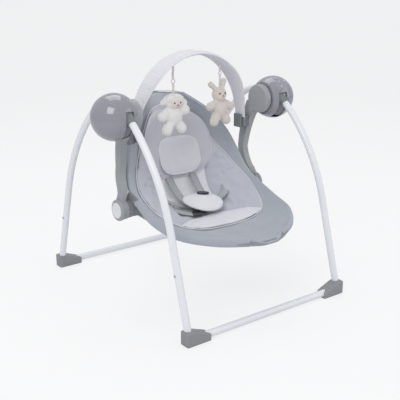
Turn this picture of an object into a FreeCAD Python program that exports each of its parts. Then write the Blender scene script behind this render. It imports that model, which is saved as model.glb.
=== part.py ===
import FreeCAD, Part
import math
import os

# Folding baby swing. Two U-shaped floor frames meet at two round hubs, two arms hang from
# the hubs, and the arms carry a reclining bucket seat and an arched toy bar.
# +X is the baby's left, +Y the back, +Z up; the origin is on the floor, midway between the
# four feet. Lengths are millimetres. The right half (+X) is made and mirrored.

V = FreeCAD.Vector
X_AXIS = V(1, 0, 0)

# ---- floor frames ----
TUBE_R = 10.0            # outside radius of every frame tube
TUBE_WALL = 1.4
LEG_X = 275.0            # leg planes stand this far from the middle
BASE_Y = 348.6           # centre line of a base tube
BASE_Z = 14.5
CORNER_R = 28.0          # bend between base tube and leg
LEG_LEAN = 15.8          # degrees from vertical, straight part of a leg
LEG_TOP_LEAN = 50.0      # after the long bend
REAR_END_LEAN = 75.0     # after the short second bend of a rear leg
JOINT_Z = 200.0          # upper leg plugs into the lower tube here
PLUG_LENGTH = 40.0
PLUG_STEP = 6.0
PLUG_GAP = 0.1
SCREW_DROP = 22.0        # leg screw below the joint
SCREW_R = 2.0
SCREW_HEAD_R = 3.6
SCREW_HEAD_H = 1.8
FOOT_LENGTH = 78.0       # along the base tube
FOOT_HEIGHT = 40.0
FOOT_TIP_H = 20.0
FOOT_SIDE = 4.5          # rubber beyond the tube's outer side
FOOT_FILLET = 4.0

# ---- hubs ----
HUB_X = 287.0
HUB_Y = -33.0
HUB_Z = 550.0
HUB_R = 65.0
HUB_WALL = 3.0
HUB_INNER_X = 246.0      # flat inner wall
SEAM_X = 304.0           # cover meets shell
SEAM_GAP = 0.3
BOSS_R = 14.0
BUSH_R = 11.0
AXLE_R = 8.0
RUN_GAP = 0.06           # running clearance on a radius
AXLE_END_X = 300.0
PIVOT_RING_R = 24.0
PIVOT_X0 = 262.0
PIVOT_X1 = 287.0
SOCKET_R = 13.0          # sleeve that holds a leg end
FRONT_IN_Y = -72.0       # long bend of the front leg ends here, from the hub centre
FRONT_IN_Z = -10.3
FRONT_END = 45.0         # straight end of the front leg
REAR_IN_Y = 59.3         # rear leg passes here, from the hub centre
REAR_IN_Z = 25.7
REAR_END = 20.0          # straight run past that point
FOLD_ANGLE = 50.0
SLOT_START = 160.0       # degrees from +Y towards +Z
SLOT_MARGIN = 42.0
SLOT_GAP = 0.8
FOLD_BUTTON_ANGLE = 300.0
FOLD_BUTTON_R = 8.0
FOLD_BUTTON_PROUD = 3.0
BUTTON_GAP = 0.3
HUB_SCREW_ANGLES = (72.0, 118.0, 326.0)
HUB_SCREW_PITCH_R = 46.7
HUB_SCREW_END_X = 313.0

# ---- drive, batteries and controls, in the right hub ----
DRIVE_R = 30.0           # magnet and coil below the axle
LEVER_X0 = 290.5
LEVER_X1 = 296.0
MAGNET_R = 8.0
COIL_R = 11.0
COIL_X0 = 300.5
BOARD_X0 = 305.7
BOARD_T = 1.6
BOARD_R = 40.0
TRAY_T = 2.0
TRAY_R = 54.0
CELL_R = 7.25
CELL_LENGTH = 50.5
CELL_COUNT = 4
CELL_GAP = 0.3
DOOR_R = 33.7
SPEAKER_R = 12.0
SPEAKER_X0 = 296.8
PANEL_ANGLE0 = 100.0
PANEL_ANGLE1 = 153.0
PANEL_X0 = 262.0
PANEL_X1 = 300.0
PANEL_T = 1.2
KEY_R = 5.0
KEY_PROUD = 2.3
KEYS = {"power_button": (112.0, -12.0), "speed_button": (128.0, -12.0),
        "timer_button": (144.0, -12.0), "melody_button": (128.0, 6.0)}

# ---- swing arms ----
ARM_X0 = 222.0
ARM_X1 = 244.0
ARM_DISC_R = 43.0
ARM_WIDTH = 24.0
ARM_BOW_Y = 37.0         # furthest back point of an arm's centre line
ARM_BOW_Z = 390.0
RECLINE_Y = 8.0
RECLINE_Z = 273.0
RECLINE_R = 29.0
RECLINE_X0 = 240.0       # arm's lower disc
RECLINE_X1 = 256.0
RECLINE_PIN_R = 9.0
RIM_COVER_R = 31.0
RIM_COVER_X = 264.0
RECLINE_KEY_R = 23.0
RECLINE_KEY_X = 267.0
RECLINE_KEY_FLANGE = 1.5
CLIP_Y = 15.0            # toy bar pivot
CLIP_Z = 480.0
CLIP_W = 34.0
CLIP_H = 42.0
CLIP_PIN_R = 5.0
CLIP_FACE_X = 184.0

# ---- toy bar ----
BAR_RISE = 226.0         # pivot to the top of the arch
BAR_T = 10.0
BAR_X = 202.0            # half span, outside
BAR_MID_W = 72.0
BAR_END_W = 40.0
BAR_END_DROP = 16.0
TOY_Y = -12.0
LAMB_X = -78.0
BUNNY_X = 92.0
LAMB_TOP = 590.0
BUNNY_TOP = 598.0
TOY_R = 21.0
RIBBON_HALF_W = 5.0
RIBBON_GAP = 0.7

# ---- seat ----
SEAT_HALF_W = 214.0      # fabric, inside the rim tube
FABRIC_T = 8.0
SECTION_POWER = 2.4      # higher is flatter in the middle
SECTION_STEPS = 8
RIM_R = 6.0
RIM_GAP = 0.4
LINER_GAP = 1.1
LINER_T = 12.0
HEAD_T = 16.0
NECK_T = 12.0
BEND_SHARE = 0.45
BRACKET_X0 = 220.0
BRACKET_X1 = 239.6
BRACKET_R = 27.0
BRACKET_FOOT_T = 6.0
CROSSBAR_W = 46.0
CROSSBAR_T = 22.0
CROSSBAR_DIP = 69.0
CROSSBAR_WALL = 3.0
STRAP_W = 25.0
STRAP_T = 2.0
SHOULDER_X = 44.0
PAD_W = 122.0
PAD_L = 122.0
PAD_T = 14.0
PAD_Y = -50.0
PAD_Z = 272.0
BUCKLE_W = 62.0
BUCKLE_L = 44.0
BUCKLE_T = 16.0
KEY_TRAVEL_ROOM = 3.0

# Each station of the bucket: share of the half width, bottom (y, z), rim (y, z).
STATIONS = (
    (0.24, -335.0, 226.0, -336.0, 238.0),
    (0.62, -285.0, 221.0, -286.0, 243.0),
    (0.92, -205.0, 222.0, -208.0, 252.0),
    (1.00, -110.0, 224.0, -120.0, 270.0),
    (0.98, -15.0, 230.0, -42.0, 302.0),
    (0.95, 58.0, 272.0, 6.0, 336.0),
    (0.90, 98.0, 350.0, 38.0, 390.0),
    (0.80, 124.0, 435.0, 64.0, 448.0),
    (0.58, 152.0, 510.0, 92.0, 508.0),
    (0.28, 196.0, 556.0, 150.0, 562.0),
)
RECLINE_AT = 4           # station nearest the recline bracket
SAVED = {}


# ---- helpers ----
def unit(vector):
    return V(vector).normalize()


def disc(x0, x1, radius, y, z):
    return Part.makeCylinder(radius, x1 - x0, V(x0, y, z), X_AXIS)


def ring(x0, x1, outer, inner, y, z):
    return disc(x0, x1, outer, y, z).cut(disc(x0 - 1, x1 + 1, inner, y, z))


def rod(start, direction, length, radius):
    return Part.makeCylinder(radius, length, start, direction)


def box(x0, x1, y0, y1, z0, z1):
    return Part.makeBox(x1 - x0, y1 - y0, z1 - z0, V(x0, y0, z0))


def mirrored(shape):
    return shape.mirror(V(0, 0, 0), X_AXIS)


def in_hub(x, y, z):
    """A point given from the hub centre in y and z."""
    return V(x, HUB_Y + y, HUB_Z + z)


def polar(radius, angle):
    turn = math.radians(angle)
    return radius * math.cos(turn), radius * math.sin(turn)


def sector(x0, x1, r0, r1, start, sweep):
    """Ring sector about the hub axis; angles run from +Y towards +Z."""
    corners = []
    for x, radius in ((x0, r0), (x1, r0), (x1, r1), (x0, r1)):
        y, z = polar(radius, start)
        corners.append(in_hub(x, y, z))
    face = Part.Face(Part.makePolygon(corners + corners[:1]))
    return face.revolve(V(0, HUB_Y, HUB_Z), X_AXIS, sweep)


def bent_path(points, radius=None):
    """Straight runs joined by tangent arcs."""
    edges = []
    start = points[0]
    for before, corner, after in zip(points, points[1:], points[2:]):
        back = before - corner
        ahead = after - corner
        half = back.getAngle(ahead) / 2
        run = min(back.Length, ahead.Length)
        bend = radius or BEND_SHARE * run * math.tan(half)
        reach = bend / math.tan(half)
        inward = unit(unit(back) + unit(ahead))
        first = corner + unit(back) * reach
        last = corner + unit(ahead) * reach
        middle = corner + inward * (bend / math.sin(half) - bend)
        edges.append(Part.makeLine(start, first))
        edges.append(Part.Arc(first, middle, last).toShape())
        start = last
    edges.append(Part.makeLine(start, points[-1]))
    return Part.Wire(edges)


def sweep(path, radius):
    first = path.Edges[0]
    start = first.valueAt(first.FirstParameter)
    along = first.tangentAt(first.FirstParameter)
    circle = Part.Wire(Part.makeCircle(radius, start, along))
    return path.makePipeShell([circle], True, False)


def tube(path):
    return sweep(path, TUBE_R).cut(sweep(path, TUBE_R - TUBE_WALL))


def prism(edges, depth):
    return Part.Face(Part.Wire(edges)).extrude(depth)


def polygon_prism(points, depth):
    return Part.Face(Part.makePolygon(points + points[:1])).extrude(depth)


def save(name, shape):
    """Keep a piece for writing, once it is a set of closed valid solids."""
    solids = shape.Solids
    if not solids or not all(solid.isValid() and solid.isClosed() for solid in solids):
        raise ValueError(name + " is not a closed valid solid")
    SAVED[name] = solids[0] if len(solids) == 1 else Part.Compound(solids)


def save_pair(name, shape):
    save(name + "_right", shape)
    save(name + "_left", mirrored(shape))


# ---- legs ----
def leg_direction(lean, side):
    """Up a leg that leans towards the middle; side is -1 in front and 1 behind."""
    turn = math.radians(lean)
    return V(0, -side * math.sin(turn), math.cos(turn))


def crossing(p, u, q, w):
    """Where two lines of the leg's plane cross: p + s u meets q - t w."""
    d = q - p
    det = u.y * w.z - u.z * w.y
    s = (d.y * w.z - d.z * w.y) / det
    return p + u * s


def arc_between(start, corner, lean0, lean1, side):
    """Tangent arc from start round the corner; returns the edge and its end."""
    reach = (corner - start).Length
    half_turn = math.radians(lean1 - lean0) / 2
    bend = reach / math.tan(half_turn)
    ahead = leg_direction(lean1, side)
    end = corner + ahead * reach
    inward = unit(ahead - leg_direction(lean0, side))
    middle = corner + inward * (bend / math.cos(half_turn) - bend)
    return Part.Arc(start, middle, end).toShape(), end


def leg(side):
    """Centre lines of a leg: its corner, joint, upper path, end and end direction."""
    straight = leg_direction(LEG_LEAN, side)
    corner = V(LEG_X, side * BASE_Y, BASE_Z)
    joint = corner + straight * ((JOINT_Z - BASE_Z) / straight.z)
    bend_end = V(LEG_X, -side * (HUB_Y + FRONT_IN_Y), HUB_Z + FRONT_IN_Z)
    ahead = leg_direction(LEG_TOP_LEAN, side)
    knee = crossing(corner, straight, bend_end, ahead)
    bend_start = knee - straight * (bend_end - knee).Length
    edge, end = arc_between(bend_start, knee, LEG_LEAN, LEG_TOP_LEAN, side)
    edges = [Part.makeLine(joint, bend_start), edge]
    if side < 0:
        last = end + ahead * FRONT_END
    else:
        target = V(LEG_X, HUB_Y + REAR_IN_Y, HUB_Z + REAR_IN_Z)
        final = leg_direction(REAR_END_LEAN, side)
        second = crossing(end, ahead, target, final)
        edge, end = arc_between(end, second, LEG_TOP_LEAN, REAR_END_LEAN, side)
        edges.append(edge)
        ahead = final
        last = target + final * REAR_END
    edges.append(Part.makeLine(end, last))
    return corner, joint, Part.Wire(edges), last, ahead


def lower_tube(side):
    corner, joint, _, _, _ = leg(side)
    points = [joint, corner]
    points += [V(-p.x, p.y, p.z) for p in reversed(points)]
    path = bent_path(points, CORNER_R)
    drilled = tube(path)
    hole = leg_screw_axis(side)
    drill = rod(hole, X_AXIS, 2 * TUBE_R, SCREW_R + 0.05)
    return drilled.cut(drill).cut(mirrored(drill)), sweep(path, TUBE_R + 0.02)


def leg_screw_axis(side):
    _, joint, _, _, _ = leg(side)
    return joint - leg_direction(LEG_LEAN, side) * SCREW_DROP


def leg_screw(side):
    hole = leg_screw_axis(side)
    shank = rod(hole, X_AXIS, TUBE_R, SCREW_R)
    head = rod(hole + X_AXIS * TUBE_R, X_AXIS, SCREW_HEAD_H, SCREW_HEAD_R)
    return shank.fuse(head)


def upper_leg(side):
    _, joint, path, _, _ = leg(side)
    straight = leg_direction(LEG_LEAN, side)
    plug_r = TUBE_R - TUBE_WALL - PLUG_GAP
    bore_r = plug_r - TUBE_WALL
    plug = rod(joint - straight * PLUG_LENGTH, straight, PLUG_LENGTH + 1, plug_r)
    step = rod(joint, straight, PLUG_STEP, TUBE_R - TUBE_WALL / 2)
    bore = rod(joint - straight * (PLUG_LENGTH + 1), straight, PLUG_LENGTH + PLUG_STEP + 2, bore_r)
    shape = tube(path).fuse(plug).fuse(step).cut(bore)
    drill = rod(leg_screw_axis(side), X_AXIS, TUBE_R, SCREW_R + 0.05)
    return shape.cut(drill)


def foot(side, tube_space):
    """Wedge-shaped rubber cap round a corner of the lower tube."""
    outer = LEG_X + TUBE_R + FOOT_SIDE
    back = side * (BASE_Y + TUBE_R + FOOT_SIDE)
    front = side * (BASE_Y - TUBE_R - 2 * FOOT_SIDE)
    tip = outer - FOOT_LENGTH
    points = [V(tip, back, 0), V(outer, back, 0), V(outer, back, FOOT_HEIGHT),
              V(outer - 2 * TUBE_R - FOOT_SIDE, back, FOOT_HEIGHT), V(tip, back, FOOT_TIP_H)]
    wedge = polygon_prism(points, V(0, front - back, 0))
    return wedge.makeFillet(FOOT_FILLET, wedge.Edges).cut(tube_space)


def floor_frame(side, name):
    lower, space = lower_tube(side)
    save(name + "_lower_tube", lower)
    save_pair(name + "_leg", upper_leg(side))
    save_pair(name + "_foot", foot(side, space))
    screw = leg_screw(side)
    save(name + "_leg_screws", Part.Compound([screw, mirrored(screw)]))


# ---- hubs ----
def ball(radius):
    return Part.makeSphere(radius, V(HUB_X, HUB_Y, HUB_Z), X_AXIS)


def ball_slice(radius, x0, x1):
    return ball(radius).common(disc(x0, x1, 2 * HUB_R, HUB_Y, HUB_Z))


def rear_socket():
    _, _, path, end, ahead = leg(1)
    sleeve = rod(end - ahead * 40.0, ahead, 43.0, SOCKET_R).common(ball(HUB_R - 0.5))
    bore = rod(end - ahead * 60.0, ahead, 60.0, TUBE_R + 0.02)
    return sleeve, bore


def radial_button(angle, x_offset, r0, r1, radius):
    """Rod square to the ball's surface at an angle and an offset along X."""
    y, z = polar(math.sqrt(HUB_R ** 2 - x_offset ** 2), angle)
    outward = unit(V(x_offset, y, z))
    centre = V(HUB_X, HUB_Y, HUB_Z)
    return rod(centre + outward * r0, outward, r1 - r0, radius)


def hub_shell(right):
    wall = ball_slice(HUB_R, HUB_INNER_X, SEAM_X)
    wall = wall.cut(ball_slice(HUB_R - HUB_WALL, HUB_INNER_X + HUB_WALL, SEAM_X + 1))
    boss = disc(HUB_INNER_X, PIVOT_X1 + 1.5, BOSS_R, HUB_Y, HUB_Z)
    sleeve, bore = rear_socket()
    shell = wall.fuse(boss).fuse(sleeve)
    shell = shell.cut(disc(HUB_INNER_X - 1, HUB_R + HUB_X, BUSH_R, HUB_Y, HUB_Z)).cut(bore)
    half = SOCKET_R + SLOT_GAP
    shell = shell.cut(sector(LEG_X - half, LEG_X + half, HUB_R - 2 * HUB_WALL - 3,
                             HUB_R + 2, SLOT_START, FOLD_ANGLE + SLOT_MARGIN))
    shell = shell.cut(radial_button(FOLD_BUTTON_ANGLE, LEG_X - HUB_X, HUB_R - 3 * HUB_WALL,
                                    HUB_R + 2, FOLD_BUTTON_R + BUTTON_GAP))
    for angle in HUB_SCREW_ANGLES:
        y, z = polar(HUB_SCREW_PITCH_R, angle)
        hole = disc(HUB_INNER_X - 1, SEAM_X, SCREW_R + 0.05, HUB_Y + y, HUB_Z + z)
        shell = shell.cut(hole)
    if right:
        shell = shell.cut(panel_space())
        for angle, offset in KEYS.values():
            shell = shell.cut(key_hole(angle, offset))
    return shell


def hub_screw(angle):
    y, z = polar(HUB_SCREW_PITCH_R, angle)
    shank = disc(HUB_INNER_X, HUB_SCREW_END_X, SCREW_R, HUB_Y + y, HUB_Z + z)
    head = disc(HUB_INNER_X - 1.4, HUB_INNER_X, SCREW_HEAD_R - 0.4, HUB_Y + y, HUB_Z + z)
    return shank.fuse(head)


def hub_cover(right):
    x0 = SEAM_X + SEAM_GAP
    dome = ball_slice(HUB_R, x0, HUB_X + HUB_R + 1)
    dome = dome.cut(ball_slice(HUB_R - HUB_WALL, x0 - 1, HUB_X + HUB_R + 1))
    for angle in HUB_SCREW_ANGLES:
        y, z = polar(HUB_SCREW_PITCH_R, angle)
        post = disc(x0, HUB_X + HUB_R, 2.5 * SCREW_R, HUB_Y + y, HUB_Z + z)
        dome = dome.fuse(post.common(ball(HUB_R - 1)))
        dome = dome.cut(disc(x0 - 1, HUB_SCREW_END_X + 1, SCREW_R + 0.02, HUB_Y + y, HUB_Z + z))
    if right:
        dome = dome.cut(disc(HUB_X, HUB_X + HUB_R + 1, DOOR_R + BUTTON_GAP, HUB_Y, HUB_Z))
    return dome


def battery_door():
    cap = ball_slice(HUB_R, HUB_X, HUB_X + HUB_R + 1)
    cap = cap.cut(ball(HUB_R - HUB_WALL))
    return cap.common(disc(HUB_X, HUB_X + HUB_R + 1, DOOR_R, HUB_Y, HUB_Z))


def leg_pivot():
    """Ring and sleeve that turn the front leg about the hub's boss."""
    _, _, _, end, ahead = leg(-1)
    mouth = end - ahead * (FRONT_END - 2.0)
    sleeve = rod(mouth, ahead, FRONT_END + 1.0, SOCKET_R)
    bore = rod(mouth - ahead, ahead, FRONT_END - 1.0, TUBE_R + 0.02)
    web = [in_hub(PIVOT_X0 + 6, y, z) for y, z in ((-8, -22), (-54, -2), (-30, 24), (4, 23))]
    plate = polygon_prism(web, V(PIVOT_X1 - PIVOT_X0 - 12, 0, 0))
    body = disc(PIVOT_X0, PIVOT_X1, PIVOT_RING_R, HUB_Y, HUB_Z).fuse(plate).fuse(sleeve)
    body = body.cut(bore)
    return body.cut(disc(PIVOT_X0 - 9, PIVOT_X1 + 9, BOSS_R + RUN_GAP, HUB_Y, HUB_Z))


def fold_button():
    offset = LEG_X - HUB_X
    cap = radial_button(FOLD_BUTTON_ANGLE, offset, 55.0, HUB_R + FOLD_BUTTON_PROUD, FOLD_BUTTON_R)
    flange = radial_button(FOLD_BUTTON_ANGLE, offset, 55.0, 57.0, FOLD_BUTTON_R + 1.5)
    stem = radial_button(FOLD_BUTTON_ANGLE, offset, PIVOT_RING_R + 6.5, 56.0, FOLD_BUTTON_R / 2)
    return cap.fuse(flange).fuse(stem)


def hubs():
    save("hub_shell_right", hub_shell(True))
    save("hub_shell_left", mirrored(hub_shell(False)))
    save("hub_cover_right", hub_cover(True))
    save("hub_cover_left", mirrored(hub_cover(False)))
    save_pair("leg_pivot", leg_pivot())
    save_pair("fold_button", fold_button())
    screws = [hub_screw(angle) for angle in HUB_SCREW_ANGLES]
    save("hub_screws", Part.Compound(screws + [mirrored(screw) for screw in screws]))
    bush = ring(HUB_INNER_X, PIVOT_X1 + 1.5, BUSH_R, AXLE_R + RUN_GAP, HUB_Y, HUB_Z)
    save("axle_bushes", Part.Compound([bush, mirrored(bush)]))
    axle = disc(ARM_X0 + 3, AXLE_END_X, AXLE_R, HUB_Y, HUB_Z)
    save("swing_axles", Part.Compound([axle, mirrored(axle)]))
    save("battery_door", battery_door())


# ---- drive and controls ----
def panel_space():
    """Shallow recess that the control panel is glued into."""
    shell = ball(HUB_R + 1).cut(ball(HUB_R - PANEL_T))
    wedge = sector(PANEL_X0, PANEL_X1, 1.0, HUB_R + 9, PANEL_ANGLE0, PANEL_ANGLE1 - PANEL_ANGLE0)
    return shell.common(wedge)


def key_hole(angle, offset):
    return radial_button(angle, offset, HUB_R - 3 * HUB_WALL, HUB_R + 4, KEY_R + BUTTON_GAP)


def control_panel():
    shell = ball(HUB_R + 0.6).cut(ball(HUB_R - PANEL_T))
    wedge = sector(PANEL_X0, PANEL_X1, 1.0, HUB_R + 9, PANEL_ANGLE0, PANEL_ANGLE1 - PANEL_ANGLE0)
    plate = shell.common(wedge)
    for angle, offset in KEYS.values():
        plate = plate.cut(key_hole(angle, offset))
    return plate


def control_key(angle, offset):
    cap = radial_button(angle, offset, 58.0, HUB_R + KEY_PROUD, KEY_R)
    flange = radial_button(angle, offset, 58.0, 59.5, KEY_R + 1.0)
    return cap.fuse(flange)


def battery_tray():
    span = CELL_COUNT * 2 * CELL_R + 2 * CELL_GAP
    tall = CELL_LENGTH + 2 * CELL_GAP
    x0 = BOARD_X0 + BOARD_T
    floor = disc(x0, x0 + TRAY_T, TRAY_R, HUB_Y, HUB_Z)
    wall = 1.6
    frame_x1 = x0 + TRAY_T + CELL_R + 2
    outer = box(x0, frame_x1, HUB_Y - span / 2 - wall, HUB_Y + span / 2 + wall,
                HUB_Z - tall / 2 - wall, HUB_Z + tall / 2 + wall)
    inner = box(x0 + TRAY_T, frame_x1 + 1, HUB_Y - span / 2, HUB_Y + span / 2,
                HUB_Z - tall / 2, HUB_Z + tall / 2)
    tray = floor.fuse(outer).cut(inner)
    for angle in HUB_SCREW_ANGLES:
        y, z = polar(HUB_SCREW_PITCH_R, angle)
        tray = tray.cut(disc(x0 - 1, frame_x1 + 1, 2.5 * SCREW_R + BUTTON_GAP,
                             HUB_Y + y, HUB_Z + z))
    return tray


def battery_cells():
    x = BOARD_X0 + BOARD_T + TRAY_T + CELL_R + 0.1
    cells = []
    for index in range(CELL_COUNT):
        y = HUB_Y + (index - (CELL_COUNT - 1) / 2) * (2 * CELL_R + 0.05)
        body = rod(V(x, y, HUB_Z - CELL_LENGTH / 2), V(0, 0, 1), CELL_LENGTH - 1.5, CELL_R)
        nub = rod(V(x, y, HUB_Z + CELL_LENGTH / 2 - 1.5), V(0, 0, 1), 1.5, 2.7)
        cells.append(body.fuse(nub))
    return Part.Compound(cells)


def magnet_lever():
    clamp = disc(LEVER_X0, LEVER_X1, AXLE_R + 6, HUB_Y, HUB_Z)
    arm = box(LEVER_X0, LEVER_X1, HUB_Y - 6, HUB_Y + 6, HUB_Z - DRIVE_R, HUB_Z)
    seat = disc(LEVER_X0, LEVER_X1, MAGNET_R + 2, HUB_Y, HUB_Z - DRIVE_R)
    lever = clamp.fuse(arm).fuse(seat)
    magnet_hole = disc(LEVER_X0 - 1, LEVER_X1 + 1, MAGNET_R, HUB_Y, HUB_Z - DRIVE_R)
    return lever.cut(magnet_hole).cut(disc(LEVER_X0 - 1, LEVER_X1 + 1, AXLE_R, HUB_Y, HUB_Z))


def drive():
    save("magnet_lever", magnet_lever())
    save("drive_magnet", disc(LEVER_X0, LEVER_X1 + 1.5, MAGNET_R, HUB_Y, HUB_Z - DRIVE_R))
    save("drive_coil", ring(COIL_X0, BOARD_X0, COIL_R, COIL_R / 2.5, HUB_Y, HUB_Z - DRIVE_R + 1))
    save("circuit_board", disc(BOARD_X0, BOARD_X0 + BOARD_T, BOARD_R, HUB_Y, HUB_Z))
    speaker_y = HUB_Y + BOARD_R - SPEAKER_R - 1
    save("speaker", disc(SPEAKER_X0, BOARD_X0, SPEAKER_R, speaker_y, HUB_Z))
    save("battery_tray", battery_tray())
    save("battery_cells", battery_cells())
    save("control_panel", control_panel())
    for name, (angle, offset) in KEYS.items():
        save(name, control_key(angle, offset))


# ---- swing arms ----
def arm_outline(x):
    """Front and rear edges of an arm, seen from the side."""
    half = ARM_WIDTH / 2
    hub_rear = V(x, HUB_Y + 47, HUB_Z - 10)
    hub_front = V(x, HUB_Y + 15, HUB_Z - 35)
    rear_bow = V(x, ARM_BOW_Y + half, ARM_BOW_Z)
    front_bow = V(x, ARM_BOW_Y - half, ARM_BOW_Z)
    rear_neck = V(x, RECLINE_Y + 16, RECLINE_Z + 45)
    front_neck = V(x, RECLINE_Y - 6, RECLINE_Z + 51)
    rear_upper = (hub_rear + rear_bow) / 2 + V(0, 8, 0)
    front_upper = (hub_front + front_bow) / 2 + V(0, 7, 0)
    rear_lower = (rear_bow + rear_neck) / 2 + V(0, 8, 0)
    front_lower = (front_bow + front_neck) / 2 + V(0, 6, 0)
    rear_foot = V(x, RECLINE_Y + 14, RECLINE_Z + 20)
    front_foot = V(x, RECLINE_Y - 14, RECLINE_Z + 20)
    return [Part.Arc(hub_rear, rear_upper, rear_bow).toShape(),
            Part.Arc(rear_bow, rear_lower, rear_neck).toShape(),
            Part.makeLine(rear_neck, rear_foot),
            Part.makeLine(rear_foot, front_foot),
            Part.makeLine(front_foot, front_neck),
            Part.Arc(front_neck, front_lower, front_bow).toShape(),
            Part.Arc(front_bow, front_upper, hub_front).toShape(),
            Part.makeLine(hub_front, V(x, HUB_Y, HUB_Z)),
            Part.makeLine(V(x, HUB_Y, HUB_Z), hub_rear)]


def arm_side(y):
    """Inner and outer faces of an arm, seen from the front."""
    z_top = HUB_Z + ARM_DISC_R + 1
    z_low = RECLINE_Z - RECLINE_R - 1
    z_neck = RECLINE_Z + 57
    z_disc = RECLINE_Z + RECLINE_R
    z_wide = HUB_Z - ARM_DISC_R - 7
    thick = ARM_X1 - ARM_X0
    return [V(ARM_X0, y, z_top), V(ARM_X0, y, z_wide), V(ARM_X0 - 3, y, ARM_BOW_Z),
            V(ARM_X0 + 4, y, z_neck), V(RECLINE_X0, y, z_disc), V(RECLINE_X0, y, z_low),
            V(RECLINE_X1, y, z_low), V(RECLINE_X1, y, z_disc),
            V(ARM_X0 + 4 + thick - 2, y, z_neck), V(ARM_X0 - 3 + thick - 2, y, ARM_BOW_Z),
            V(ARM_X1, y, z_wide), V(ARM_X1, y, z_top)]


def swing_arm():
    blade = prism(arm_outline(ARM_X0 - 10), V(RECLINE_X1 - ARM_X0 + 20, 0, 0))
    blade = blade.common(polygon_prism(arm_side(HUB_Y - 60), V(0, 200, 0)))
    hub_disc = disc(ARM_X0, ARM_X1, ARM_DISC_R, HUB_Y, HUB_Z)
    hub_disc = hub_disc.makeFillet(4.0, [hub_disc.Edges[i] for i in round_edges(hub_disc)])
    low_disc = disc(RECLINE_X0, RECLINE_X1, RECLINE_R, RECLINE_Y, RECLINE_Z)
    pin = disc(BRACKET_X0 + 4, RECLINE_X0 + 1, RECLINE_PIN_R, RECLINE_Y, RECLINE_Z)
    arm = blade.fuse(hub_disc).fuse(low_disc).fuse(pin)
    return arm.cut(disc(ARM_X0 + 3, ARM_X1 + 1, AXLE_R, HUB_Y, HUB_Z))


def round_edges(shape):
    return [i for i, edge in enumerate(shape.Edges) if isinstance(edge.Curve, Part.Circle)]


def recline_cover():
    cover = disc(RECLINE_X1, RIM_COVER_X, RIM_COVER_R, RECLINE_Y, RECLINE_Z)
    outer_edge = [e for e in cover.Edges if isinstance(e.Curve, Part.Circle)
                  and e.CenterOfMass.x > RIM_COVER_X - 1]
    cover = cover.makeFillet(3.0, outer_edge)
    lip_x = RIM_COVER_X - 2
    cover = cover.cut(disc(RECLINE_X1 - 1, lip_x, RECLINE_KEY_R + RECLINE_KEY_FLANGE + BUTTON_GAP,
                           RECLINE_Y, RECLINE_Z))
    return cover.cut(disc(RECLINE_X1 - 1, RIM_COVER_X + 1, RECLINE_KEY_R + BUTTON_GAP,
                          RECLINE_Y, RECLINE_Z))


def recline_button():
    x0 = RECLINE_X1 + KEY_TRAVEL_ROOM + 1.2
    cap = disc(x0, RECLINE_KEY_X, RECLINE_KEY_R, RECLINE_Y, RECLINE_Z)
    outer_edge = [e for e in cap.Edges if isinstance(e.Curve, Part.Circle)
                  and e.CenterOfMass.x > RECLINE_KEY_X - 1]
    cap = cap.makeFillet(2.5, outer_edge)
    return cap.fuse(disc(x0, x0 + 1.5, RECLINE_KEY_R + RECLINE_KEY_FLANGE, RECLINE_Y, RECLINE_Z))


def toy_clip():
    """Cheeks on each side of the bar's end, joined by the pivot pin."""
    half = CLIP_W / 2
    lug_x0 = BAR_X - BAR_T - 1.4
    lug_x1 = BAR_X + 0.4
    face = box(CLIP_FACE_X, lug_x0, CLIP_Y - half, CLIP_Y + half,
               CLIP_Z - CLIP_H / 2, CLIP_Z + CLIP_H / 2)
    face = face.makeFillet(2.4, face.Edges)
    block = box(lug_x1, ARM_X0 + 1, CLIP_Y - half + 4, CLIP_Y + half - 2,
                CLIP_Z - CLIP_H / 2, CLIP_Z + 14)
    pin = disc(lug_x0 - 1, lug_x1 + 1, CLIP_PIN_R, CLIP_Y, CLIP_Z)
    return face.fuse(block).fuse(pin)


def arms():
    arm = swing_arm()
    save_pair("swing_arm", arm)
    save_pair("recline_cover", recline_cover())
    save_pair("recline_button", recline_button())
    save_pair("toy_clip", toy_clip().cut(arm))


# ---- toy bar and toys ----
def toy_bar():
    depth = 200.0
    outer = solid_arch(BAR_X, BAR_RISE, depth)
    inner = solid_arch(BAR_X - BAR_T, BAR_RISE - BAR_T, depth)
    arch = outer.cut(inner)
    lug = box(BAR_X - BAR_T, BAR_X, -depth / 2, depth / 2, CLIP_Z - BAR_END_DROP, CLIP_Z + 1)
    arch = arch.fuse(lug).fuse(mirrored(lug))
    end = BAR_END_W / 2
    middle = BAR_MID_W / 2
    z_top = CLIP_Z + BAR_RISE + 1
    z_wide = CLIP_Z + 0.72 * BAR_RISE
    z_low = CLIP_Z - BAR_END_DROP
    side = [V(-BAR_X - 1, CLIP_Y - end, z_low), V(-BAR_X - 1, CLIP_Y + end, z_low),
            V(-BAR_X - 1, CLIP_Y + end, CLIP_Z + 14), V(-BAR_X - 1, middle, z_wide),
            V(-BAR_X - 1, middle, z_top), V(-BAR_X - 1, -middle, z_top),
            V(-BAR_X - 1, -middle, z_wide), V(-BAR_X - 1, CLIP_Y - end, CLIP_Z + 14)]
    bar = arch.common(polygon_prism(side, V(2 * BAR_X + 2, 0, 0)))
    hole = disc(BAR_X - BAR_T - 1, BAR_X + 1, CLIP_PIN_R + RUN_GAP, CLIP_Y, CLIP_Z)
    return bar.cut(hole).cut(mirrored(hole))


def solid_arch(half_span, rise, depth):
    wide = rise > half_span
    major = V(0, -depth / 2, CLIP_Z + rise) if wide else V(half_span, -depth / 2, CLIP_Z)
    minor = V(half_span, -depth / 2, CLIP_Z) if wide else V(0, -depth / 2, CLIP_Z + rise)
    curve = Part.Ellipse(major, minor, V(0, -depth / 2, CLIP_Z))
    block = Part.Face(Part.Wire(curve.toShape())).extrude(V(0, depth, 0))
    return block.common(box(-300, 300, -depth, depth, CLIP_Z, CLIP_Z + rise + 1))


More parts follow.
